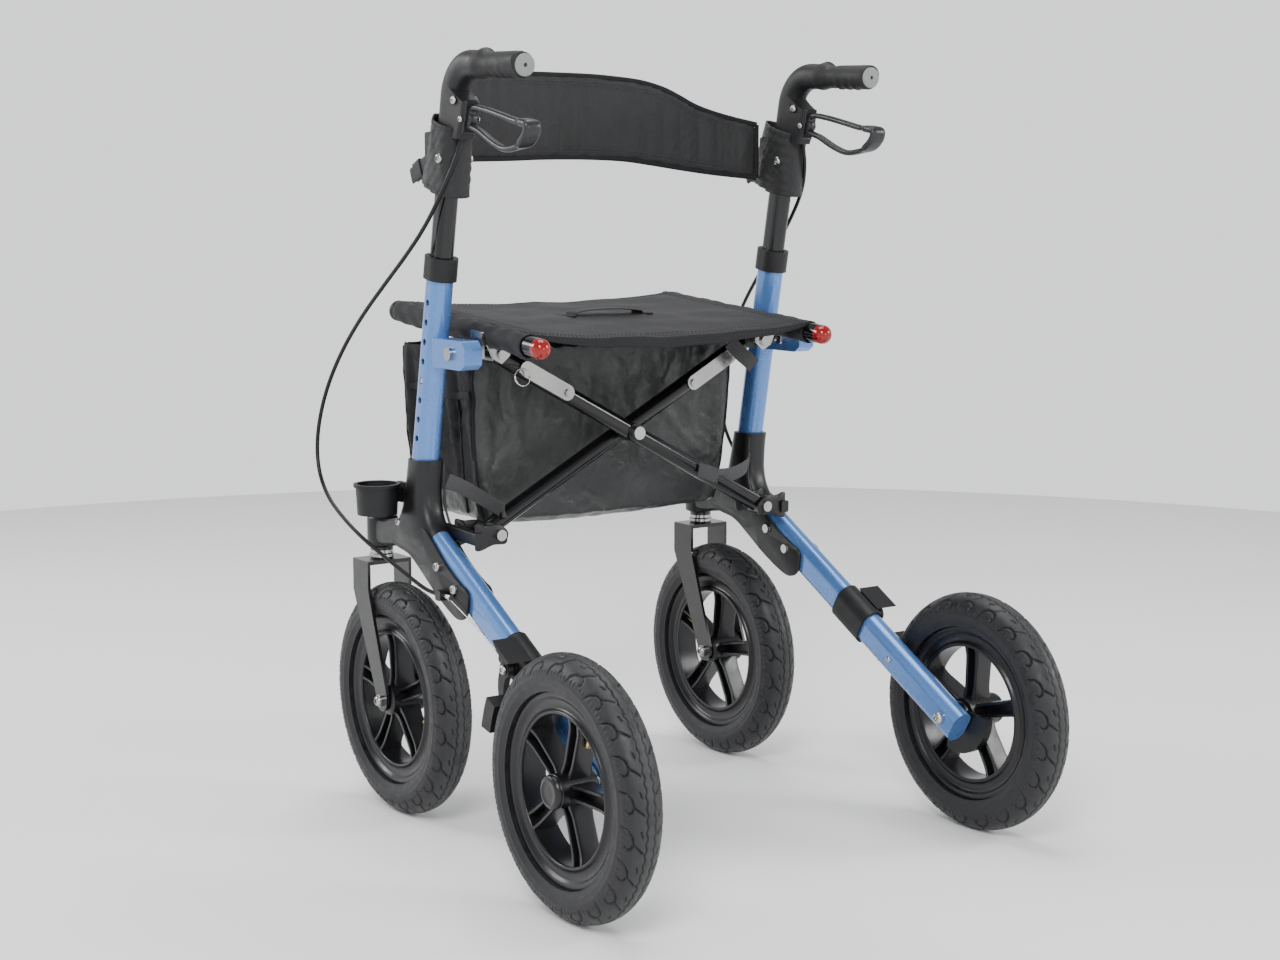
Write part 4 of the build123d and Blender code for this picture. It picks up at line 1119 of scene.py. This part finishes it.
def makeBag():
    shell = surfacePiece("cloth_bag", [bagGrid()], finishes["bag_fabric"], None, ride=False,
                         sharp=70)
    before = readPoints(shell)
    draw = np.random.default_rng(3)
    shake = draw.normal(0, 0.0006, before.shape)
    writePoints(shell, before + shake)
    group = shell.vertex_groups.new(name="held")
    top = np.nonzero(before[:, 2] > bag["rimZ"] - 0.006)[0]
    group.add([int(k) for k in top], 1.0, "REPLACE")
    lowRear = np.nonzero((np.abs(before[:, 0]) > 0.186) & (before[:, 2] < bag["floorZ"] + 0.006))[0]
    group.add([int(k) for k in lowRear], 0.6, "REPLACE")
    cloth = shell.modifiers.new("cloth", "CLOTH")
    cloth.settings.quality = 6
    cloth.settings.mass = 0.2
    cloth.settings.tension_stiffness = 18
    cloth.settings.compression_stiffness = 18
    cloth.settings.bending_stiffness = 0.25
    cloth.settings.air_damping = 2.5
    cloth.settings.shrink_min = -bag["grow"]
    cloth.settings.vertex_group_mass = "held"
    cloth.collision_settings.use_collision = False
    for step in range(1, bag["steps"] + 1):
        bpy.context.scene.frame_set(step)
    applyModifiers(shell)
    bpy.context.scene.frame_set(1)
    move = readPoints(shell) - before
    size = np.linalg.norm(move, axis=1, keepdims=True)
    moved = before + move * np.minimum(1, bag["cap"] / np.maximum(size, 1e-9))
    centre = np.array([0, (bag["rearY"] + bag["frontY"]) / 2, 0.5])
    flat = np.where(np.abs(before[:, :1]) > bag["halfX"] * 0.93, np.array([[1, 0, 0]]),
                    np.array([[0, 1, 0]]))
    outward = flat * np.sign(before - centre)
    u = np.where(flat[:, 0] > 0, before[:, 1] + 3 * np.sign(before[:, 0]),
                 before[:, 0] + 7 * (before[:, 1] > centre[1]))
    span = bag["rimZ"] - bag["floorZ"]
    fade = np.clip((bag["rimZ"] - before[:, 2]) / (0.2 * span), 0, 1)
    folds = np.zeros(len(before))
    for seed, low, high in ((31, -0.2, 0.2), (32, 6.8, 7.2), (33, 3.15, 3.33), (34, -2.85, -2.67)):
        count = 44 if high - low > 0.3 else 12
        folds += creases(u, before[:, 2], seed, count, ((low, high), (0.39, 0.60)), 0.055, 0.0042)
    moved += outward * (0.0052 * folds * fade)[:, None]
    moved[:, 1] = np.maximum(moved[:, 1], 0.1315)
    writePoints(shell, before)
    # the sides are black, the rear and front panels a coated grey-green cloth
    mesh = shell.data
    mesh.materials.append(finishes["bagSide"])
    centres = np.zeros(len(mesh.polygons) * 3, np.float32)
    mesh.polygons.foreach_get("center", centres)
    centres = centres.reshape(-1, 3)
    isSide = np.abs(centres[:, 0]) > bag["halfX"] - 0.29 * bag["corner"]
    mesh.polygons.foreach_set("material_index", isSide.astype(np.int32))
    writePoints(shell, moved)
    planarUv(shell, (0.8, 0.6, 0), (0, 0.2, 1))
    area = sum(polygon.area for polygon in mesh.polygons)
    wall = shell.modifiers.new("wall", "SOLIDIFY")
    wall.thickness = bag["wall"]
    wall.offset = 0
    applyModifiers(shell)
    smoothShade(shell, 70)
    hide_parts("shopping_bag")
    print("bag cloth area", round(area, 4))
    # corner seams, the side pocket's hem and its seam follow the shaken cloth
    def follow(line):
        near = np.argmin(np.linalg.norm(line[:, None] - before[None], axis=2), axis=1)
        path = (moved + outward * 0.0009)[near]
        for _ in range(3):
            path[1:-1] = (path[:-2] + 2 * path[1:-1] + path[2:]) / 4
        return smoothPath(path[np.concatenate(
            [[True], np.linalg.norm(np.diff(path, axis=0), axis=1) > 1e-5])], 60)

    centreY, halfY = (bag["rearY"] + bag["frontY"]) / 2, (bag["frontY"] - bag["rearY"]) / 2
    tapes = []
    for sx in (-1, 1):
        for sy in (-1, 1):
            x, y = sx * (bag["halfX"] - 0.001), centreY + sy * (halfY - 0.001)
            line = smoothPath([(x, y, 0.606), (x, y, 0.50), (x * 0.985, y, 0.42), (x * 0.955, y, 0.395)],
                              50)
            tapes.append(sweep(follow(line), roundBox(0.0034, 0.0034, 0.7, 12), (1, 0, 0)))
        x = sx * (bag["halfX"] + 0.0015)
        hemLine = smoothPath([(x, bag["rearY"] + 0.006, 0.556), (x + sx * 0.001, centreY, 0.552),
                              (x, bag["frontY"] - 0.006, 0.558)], 40)
        tapes.append(sweep(follow(hemLine), roundBox(0.0028, 0.0095, 0.5, 16), (1, 0, 0)))
        seam = smoothPath([(x, bag["rearY"] + 0.055, 0.555), (x, bag["rearY"] + 0.055, 0.46),
                           (x * 0.975, bag["rearY"] + 0.055, 0.40)], 40)
        tapes.append(sweep(follow(seam), roundBox(0.0022, 0.004, 0.6, 12), (1, 0, 0)))
    trim = surfacePiece("bag_seams", tapes, finishes["bagSide"], None, ride=False)
    for piece in (shell, trim):
        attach(piece, "rail_left")
        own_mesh(piece)


makeBag()
print("bag made")

# ---- brake cables, on the same route as in the frame
cableRoute = [
    (262.5, 68.5, 881.9), (264, 68.5, 866), (271, 73, 844), (279, 88, 810), (284, 122, 768),
    (290, 162, 731), (298, 208, 692), (307, 254, 650), (316, 294, 603), (324, 324, 551),
    (330, 338, 497), (334, 330, 452), (336, 300, 418), (334, 258, 394), (328, 214, 372),
    (317, 172, 352), (303, 139, 332), (288.5, 115, 315), (283.3, 93, 315)]
cable = {"radius": 0.0026, "inner": 0.0009}


def splineTube(name, points, radius, finish):
    # a NURBS line of order 3 through the control points, with a round bevel, made into a mesh
    line = bpy.data.curves.new(name, "CURVE")
    line.dimensions = "3D"
    spline = line.splines.new("NURBS")
    spline.points.add(len(points) - 1)
    spline.points.foreach_set(
        "co", np.hstack([points, np.ones((len(points), 1))]).astype(np.float32).ravel())
    spline.order_u = 3
    spline.use_endpoint_u = True
    spline.resolution_u = 10
    line.bevel_depth = radius
    line.bevel_resolution = 4
    line.use_fill_caps = True
    holder = bpy.data.objects.new(name + "_line", line)
    bpy.context.scene.collection.objects.link(holder)
    mesh = bpy.data.meshes.new_from_object(holder.evaluated_get(bpy.context.evaluated_depsgraph_get()))
    bpy.data.objects.remove(holder)
    piece = bpy.data.objects.new(name, mesh)
    bpy.context.scene.collection.objects.link(piece)
    mesh.materials.clear()
    mesh.materials.append(finish)
    smoothShade(piece, 50)
    return piece


def makeCables():
    route = np.array(cableRoute) / 1000
    for side, sign in sideSigns.items():
        tube = splineTube(f"cable_{side}", mirrored(route, sign), cable["radius"], finishes["cable_sheath"])
        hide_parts(f"brake_cable_{side}")
        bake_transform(tube)
        start = mirrored(route[0], sign)
        ferrule = turned([(0, -0.010), (0.0030, -0.010), (0.0034, -0.009), (0.0034, 0.0015),
                          (0.0040, 0.0020), (0.0040, 0.0050), (0, 0.0050)], start, (0, 0, 1), 24)
        surfacePiece(f"cable_ferrule_{side}", [ferrule], finishes["lever_grey"], f"handle_{side}")
        end = mirrored(route[-1], sign) - np.array([0, 0.012, 0])
        wire = smoothPath([end, end + np.array([0, -0.05, -0.018]), (sign * 0.2865, -0.020, 0.2800),
                           (sign * 0.2875, -0.064, 0.2625)], 60)
        grids = [sweep(wire, roundBox(2 * cable["inner"], 2 * cable["inner"], 1.0, 10), (1, 0, 0))]
        grids.append(turned([(0, -0.008), (0.003, -0.008), (0.003, 0.006), (0.0042, 0.006),
                             (0.0042, 0.0105), (0, 0.0105)],
                            end, (0, -1, 0), 6))
        surfacePiece(f"brake_wire_{side}", grids, finishes["zinc"], f"{side}_frame")


makeCables()
print("cables made")

# ---- webbing, rings, bolt heads and valves
webbing = {"wide": 0.0195, "thick": 0.0017}


def makeStraps():
    left = smoothPath([(-0.2405, 0.152, 0.4475), (-0.226, 0.140, 0.4400), (-0.206, 0.120, 0.4250),
                       (-0.1915, 0.1015, 0.4125)], 60)
    wrap = smoothPath([(-0.1915, 0.1015, 0.4125), (-0.1890, 0.1000, 0.4120), (-0.1850, 0.1120, 0.4080),
                       (-0.1900, 0.1270, 0.4050)], 24)
    right = smoothPath([(0.2405, 0.152, 0.4400), (0.215, 0.128, 0.4330), (0.170, 0.100, 0.4300),
                        (0.128, 0.0790, 0.4330)], 70)
    block = smoothPath([(0.128, 0.0775, 0.4335), (0.112, 0.0765, 0.4400), (0.098, 0.0770, 0.4440)], 20)
    lean = unit(np.array([0.25, 0.1, 1.0]))
    leftLean = unit(np.array([-0.32, 0.15, 1.0]))
    strips = {
        "limit_strap_left": ([left, wrap], leftLean, "left_frame", "cross_b", left[0], left[-1]),
        "limit_strap_right": ([right, block], lean, "right_frame", "cross_a", right[0], right[-1]),
    }
    for name, (paths, across, bodyA, bodyB, start, end) in strips.items():
        grids = [sweep(path, roundBox(webbing["wide"], webbing["thick"], 0.3, 28), across)
                 for path in paths]
        strap = surfacePiece(name, grids, finishes["webbing"], None, ride=False, sharp=60)
        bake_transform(strap)
    low = smoothPath([(0.150, 0.0785, 0.612), (0.163, 0.076, 0.598), (0.178, 0.074, 0.586),
                      (0.186, 0.073, 0.578)], 30)
    tongue = sweep(low, roundBox(0.021, 0.0018, 0.3, 28), (0.7, 0, 0.6))
    surfacePiece("seat_pull_tongue", [tongue], finishes["webbing"], "cross_b", sharp=60)


def makeRing():
    # a small split ring hung beside the left rail plate
    a = np.linspace(0, 2 * np.pi, 49)
    centre = np.array([-0.1790, 0.0700, 0.5820])
    path = centre + 0.0105 * np.stack([np.cos(a), 0.25 * np.sin(a), np.sin(a)], 1)
    surfacePiece("split_ring", [sweep(path, roundBox(0.0022, 0.0022, 1.0, 12), (0, 1, 0), closed=True)],
                 finishes["zinc"], "cross_a")


boltHeads = {  # body kind: (x, y, z, axis, radius) of the right side, in metres
    "frame": [(0.2404, 0.0695, 0.3251, -1, 0.0062), (0.2404, 0.1106, 0.3475, -1, 0.0062),
              (0.2812, 0.0695, 0.3251, 1, 0.0062), (0.2812, 0.1106, 0.3475, 1, 0.0062),
              (0.2400, 0.2150, 0.4000, -1, 0.0048), (0.2785, 0.2150, 0.3900, 1, 0.0048),
              (0.2400, -0.2406, 0.1525, -1, 0.0075), (0.2445, -0.1400, 0.2085, -1, 0.0042)],
    "shoe": [(0.2930, -0.0673, 0.2523, 1, 0.0062)],
}


stem = {"y": 0.2936, "capZ": 0.3885, "washerZ": 0.3335}  # where the caster stem passes the bracket


def makeBolts():
    for side, sign in sideSigns.items():
        for kind, heads in boltHeads.items():
            body = f"{side}_frame" if kind == "frame" else f"shoe_{side}"
            grids = [domeGrid((sign * x, y, z), (sign * face, 0, 0), radius, radius * 0.6)
                     for x, y, z, face, radius in heads]
            surfacePiece(f"bolt_heads_{kind}_{side}", grids, finishes["zinc"], body)
        axleX, axleY, axleZ = middle(f"caster_axle_{side}")
        low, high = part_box(f"caster_axle_{side}")
        nuts = [domeGrid((face, axleY, axleZ), (1 if face > axleX else -1, 0, 0), 0.0072, 0.0055)
                for face in (low.x, high.x)]
        surfacePiece(f"caster_nuts_{side}", nuts, finishes["zinc"], f"caster_{side}")
        cap = turned([(0, -0.002), (0.0165, -0.002), (0.0178, 0.001), (0.0178, 0.004), (0.012, 0.0075),
                      (0, 0.0085)],
                     (axleX, stem["y"], stem["capZ"]), (0, 0, 1), 40)
        surfacePiece(f"stem_cap_{side}", [cap], finishes["black_plastic"], f"{side}_frame")
        collar = turned([(0.0100, 0), (0.0168, 0), (0.0168, 0.0035), (0.0152, 0.0050), (0.0152, 0.0090),
                         (0.0100, 0.0090), (0.0100, 0)],
                        (axleX, stem["y"], stem["washerZ"]), (0, 0, 1), 40)
        surfacePiece(f"stem_washer_{side}", [collar], finishes["zinc"], f"caster_{side}")


bracket = {"x": 0.2593, "cheek": 0.0166, "cheekThick": 0.0046, "bossRadius": 0.0205, "stemY": stem["y"],
           "cheekLine": [(0.040, 0.318), (0.0455, 0.3275), (0.058, 0.3325), (0.080, 0.3430),
                         (0.104, 0.3580), (0.128, 0.3760), (0.150, 0.3900), (0.185, 0.3960),
                         (0.225, 0.3880), (0.240, 0.3740), (0.226, 0.3600), (0.188, 0.3520),
                         (0.156, 0.3340), (0.122, 0.3130), (0.086, 0.2950), (0.062, 0.2880),
                         (0.045, 0.2960)],
           "levels": [  # height, rear Y, front Y, half width
               (0.4740, 0.1518, 0.1972, 0.0190), (0.4560, 0.1545, 0.2010, 0.0192),
               (0.4300, 0.1560, 0.2075, 0.0195), (0.4120, 0.1530, 0.2140, 0.0200),
               (0.3980, 0.1460, 0.2230, 0.0207), (0.3860, 0.1360, 0.2340, 0.0213),
               (0.3760, 0.1290, 0.2400, 0.0215), (0.3660, 0.1300, 0.2400, 0.0205)]}


def slab(line, x0, x1, edge=0.0012):
    # a closed outline in the side view, given thickness along X with rounded-off edges
    ring = smoothPath([(0, y, z) for y, z in line], 110, closed=True)
    centre = ring[:-1].mean(0)
    inward = unit(centre - ring) * edge
    rows = [centre + 0 * ring, ring + inward, ring + 0.3 * inward, ring, ring, ring + 0.3 * inward,
            ring + inward, centre + 0 * ring]
    places = [x0, x0, x0 + 0.4 * edge, x0 + edge, x1 - edge, x1 - 0.4 * edge, x1, x1]
    return np.stack([row + np.array([x, 0, 0]) for row, x in zip(rows, places)])


def bracketGrids(sign):
    # a flared socket on the post, an arm to the caster's boss, two cheeks beside the leg, and pivot lugs
    x = bracket["x"]
    a = np.linspace(0, 2 * np.pi, 65)
    levels = smoothPath(np.array(bracket["levels"])[:, :3], 40)
    half = np.interp(-levels[:, 0], -np.array(bracket["levels"])[:, 0], np.array(bracket["levels"])[:, 3])
    cx, cy = np.sign(np.cos(a)) * np.abs(np.cos(a)) ** 0.7, np.sign(np.sin(a)) * np.abs(np.sin(a)) ** 0.7
    z, rear, front = levels.T
    socket = np.stack([x + half[:, None] * cx,
                       (rear + front)[:, None] / 2 + (front - rear)[:, None] / 2 * cy,
                       z[:, None] + 0 * cx], -1)
    # the bore follows the post down to its foot, so the handle tube keeps its room
    depth = np.linspace(0.3965, 0.4746, 14)[:, None]
    bore = np.stack([x + 0.0154 * np.cos(a) + 0 * depth, postLine(depth) + 0.0196 * np.sin(a),
                     depth + 0 * a], -1)
    grids = [capEnds(np.concatenate([bore, socket + np.array([0, 0, 0.0006])]))]
    arm = smoothPath([(x, 0.205, 0.3760), (x, 0.235, 0.3735), (x, 0.262, 0.3690), (x, 0.286, 0.3680)], 30)
    deep = np.linspace(1.06, 0.92, 30)
    grids.append(sweep(arm, roundBox(0.036, 0.036, 0.42, 44), (1, 0, 0), deep))
    r = bracket["bossRadius"]
    grids.append(turned([(0, 0.3480), (r - 0.003, 0.3480), (r - 0.0008, 0.3490), (r, 0.3510), (r, 0.3840),
                         (r - 0.0008, 0.3865), (r - 0.003, 0.3880),
                         (0, 0.3880)], (x, bracket["stemY"], 0), (0, 0, 1), 56))
    for face in (-1, 1):
        centre = x + face * bracket["cheek"]
        grids.append(slab(bracket["cheekLine"], centre - bracket["cheekThick"] / 2,
                          centre + bracket["cheekThick"] / 2))
    for low, high in ((0.0750, 0.0795), (0.1252, 0.1297)):
        lug = slab([(0.3740, 0.2020), (0.3740, 0.2190), (0.3695, 0.2330), (0.3680, 0.2400),
                    (0.3688, 0.2436), (0.3720, 0.2442), (0.3860, 0.2442), (0.3990, 0.2442),
                    (0.4020, 0.2436), (0.4024, 0.2400), (0.3995, 0.2300), (0.3985, 0.2100),
                    (0.3900, 0.1985), (0.3810, 0.1985)], low, high, 0.0008)
        grids.append(lug[..., [2, 0, 1]])
    shelf = smoothPath([(0.2415, 0.072, 0.383), (0.2415, 0.102, 0.384), (0.2415, 0.133, 0.385),
                        (0.2450, 0.160, 0.386)], 24)
    grids.append(sweep(shelf, roundBox(0.012, 0.016, 0.3, 32), (1, 0, 0)))
    grids.append(sweep(np.array([(x + 0.018, 0.0935, 0.315), (x + 0.0305, 0.0935, 0.315)]),
                       roundBox(0.013, 0.013, 0.4, 28), (0, 1, 0)))
    return [mirrored(g, sign) for g in grids]


def makeBrackets():
    for side, sign in sideSigns.items():
        surfacePiece(f"cast_bracket_{side}", bracketGrids(sign), finishes["black_casting"], f"{side}_frame",
                     replaced=[f"lower_bracket_{side}"], sharp=38)
        # a thin raised edge runs down the socket's rear corner, in a paler grey than the casting: a painted
        # highlight along the edge
        x = bracket["x"] - 0.0158
        highlightRib = smoothPath([(x, 0.1560, 0.470), (x - 0.001, 0.1575, 0.440), (x - 0.0015, 0.1560, 0.415),
                          (x - 0.0025, 0.1480, 0.396), (x - 0.003, 0.1385, 0.384)], 40)
        surfacePiece(f"bracket_rib_highlight_{side}",
                     [mirrored(sweep(highlightRib, roundBox(0.0032, 0.0032, 1, 12), (1, 0, 0)), sign)],
                     finishes["lever_grey"], f"{side}_frame")


elbow = {"wide": 0.0308, "deep": 0.0368, "bend": 0.045, "housing": 0.0250}


# a point on the post's middle line, and how far it leans
post = {"y": 0.1283, "z": 0.7193, "lean": math.radians(10.7)}


def postLine(z):
    # y falls in a straight line as the height grows
    return post["y"] - (np.asarray(z) - post["z"]) * math.tan(post["lean"])


def elbowGrid(sign):
    # an oval tube up the post's line, round the bend and into the grip;
    # its rear swells into the lever's housing
    x = middle("handle_tube_right")[0]
    lean, slope = post["lean"], math.radians(gripShape["slope"])
    up = np.array([0, -math.sin(lean), math.cos(lean)])
    back = np.array([0, -math.cos(slope), -math.sin(slope)])
    first, last = np.array([x, float(postLine(0.879)), 0.879]), gripPoint(1, np.array([0.004]))[0]
    # the corner is where the two axes meet in the side view
    k = np.linalg.solve(np.stack([up[1:], -back[1:]], 1), (last - first)[1:])
    corner = first + k[0] * up
    turn = math.acos(float(up @ back))
    cut = elbow["bend"] * math.tan(turn / 2)
    begin, finish = corner - cut * up, corner + cut * back
    t = np.linspace(0, turn, 30)[:, None]
    side = unit(back - (back @ up) * up)
    arc = begin + elbow["bend"] * (np.sin(t) * up + (1 - np.cos(t)) * side)
    n = 40
    path = np.vstack([first + (begin - first) * np.linspace(0, 1, n)[:-1, None], arc,
                      finish + (last - finish) * np.linspace(0, 1, 8)[1:, None]])
    z = path[:, 2]
    reach = (elbow["housing"] * np.clip((0.9370 - z) / 0.010, 0, 1) ** 0.6
             * np.clip(1 - (np.arange(len(z)) > n + 14), 0, 1))
    reach = reach * (1 - 0.22 * np.clip((0.905 - z) / 0.026, 0, 1))
    oval = roundBox(elbow["wide"], elbow["deep"], 0.86, 72)
    grow = np.linspace(0, 1, len(path))[:, None, None] ** 3
    profile = oval[None] * (1 + grow * (np.array([0.0322, 0.0322])
                                        / np.array([elbow["wide"], elbow["deep"]]) - 1))
    box = roundBox(elbow["wide"] - 0.005, elbow["deep"], 0.34, 72)[None]
    share = np.clip(reach / elbow["housing"], 0, 1)[:, None, None] * (oval[:, 1:] < -1e-6)[None]
    profile = profile * (1 - share) + box * share
    profile[..., 1] -= reach[:, None] * (oval[:, 1] < -1e-6)[None]
    return mirrored(sweep(path, profile, (1, 0, 0)), sign), path


def makeElbows():
    x = middle("handle_tube_right")[0]
    for side, sign in sideSigns.items():
        grid, path = elbowGrid(sign)
        surfacePiece(f"moulded_elbow_{side}", [grid], finishes["black_plastic"], f"handle_{side}",
                     replaced=[f"handle_elbow_{side}"], sharp=45)
        face = grid[..., 1].min(axis=1)
        rows = np.nonzero((path[:, 2] > 0.8865) & (path[:, 2] < 0.9300))[0]
        z, y = path[rows, 2], face[rows + 1]
        # painted shade and highlight on the housing's rear face: a dark strip stands for the slot's shaded
        # mouth, a pale ring round it for its lit lip
        centre = np.stack([0 * z + sign * x, y + 0.0022,
                           grid[rows + 1][..., 2][np.arange(len(rows)), grid[rows + 1][..., 1].argmin(1)]],
                           1)
        slotShade = sweep(centre, roundBox(0.0132, 0.0052, 0.25, 24), (1, 0, 0))
        surfacePiece(f"slot_painted_shade_{side}", [slotShade], finishes["bagSide"], f"handle_{side}")
        half = np.array([sign * 0.0082, 0, 0])
        corners = np.vstack([centre[::-1] - half, centre + half])
        ring = smoothPath(corners - np.array([0, 0.0018, 0]), 90, closed=True)
        slotHighlight = sweep(ring, roundBox(0.0026, 0.0026, 0.8, 12), (0, 1, 0), closed=True)
        surfacePiece(f"slot_painted_highlight_{side}", [slotHighlight], finishes["lever_grey"], f"handle_{side}")


valves = {"rear_left": 118.0, "rear_right": 250.0, "caster_left": 200.0, "caster_right": 20.0}


def makeValves():
    for name, turn in valves.items():
        kind, side = name.split("_")
        centre = middle(f"tyre_{kind}_{side}")
        a = math.radians(turn)
        inward = -np.array([0, math.cos(a), math.sin(a)])
        root = centre - inward * 0.0865
        stem = turned([(0, -0.004), (0.0048, -0.004), (0.0042, 0.006), (0.0031, 0.009), (0.0031, 0.017),
                       (0.0038, 0.0175), (0.0038, 0.025), (0.0030, 0.0268), (0, 0.0268)], root, inward, 24)
        body = f"rear_wheel_{side}" if kind == "rear" else f"caster_wheel_{side}"
        surfacePiece(f"valve_{name}", [stem], finishes["valveBrass"], body)


makeBrackets()
makeElbows()
makeStraps()
makeRing()
makeBolts()
makeValves()
print("straps and small parts made")

print("all pieces made")
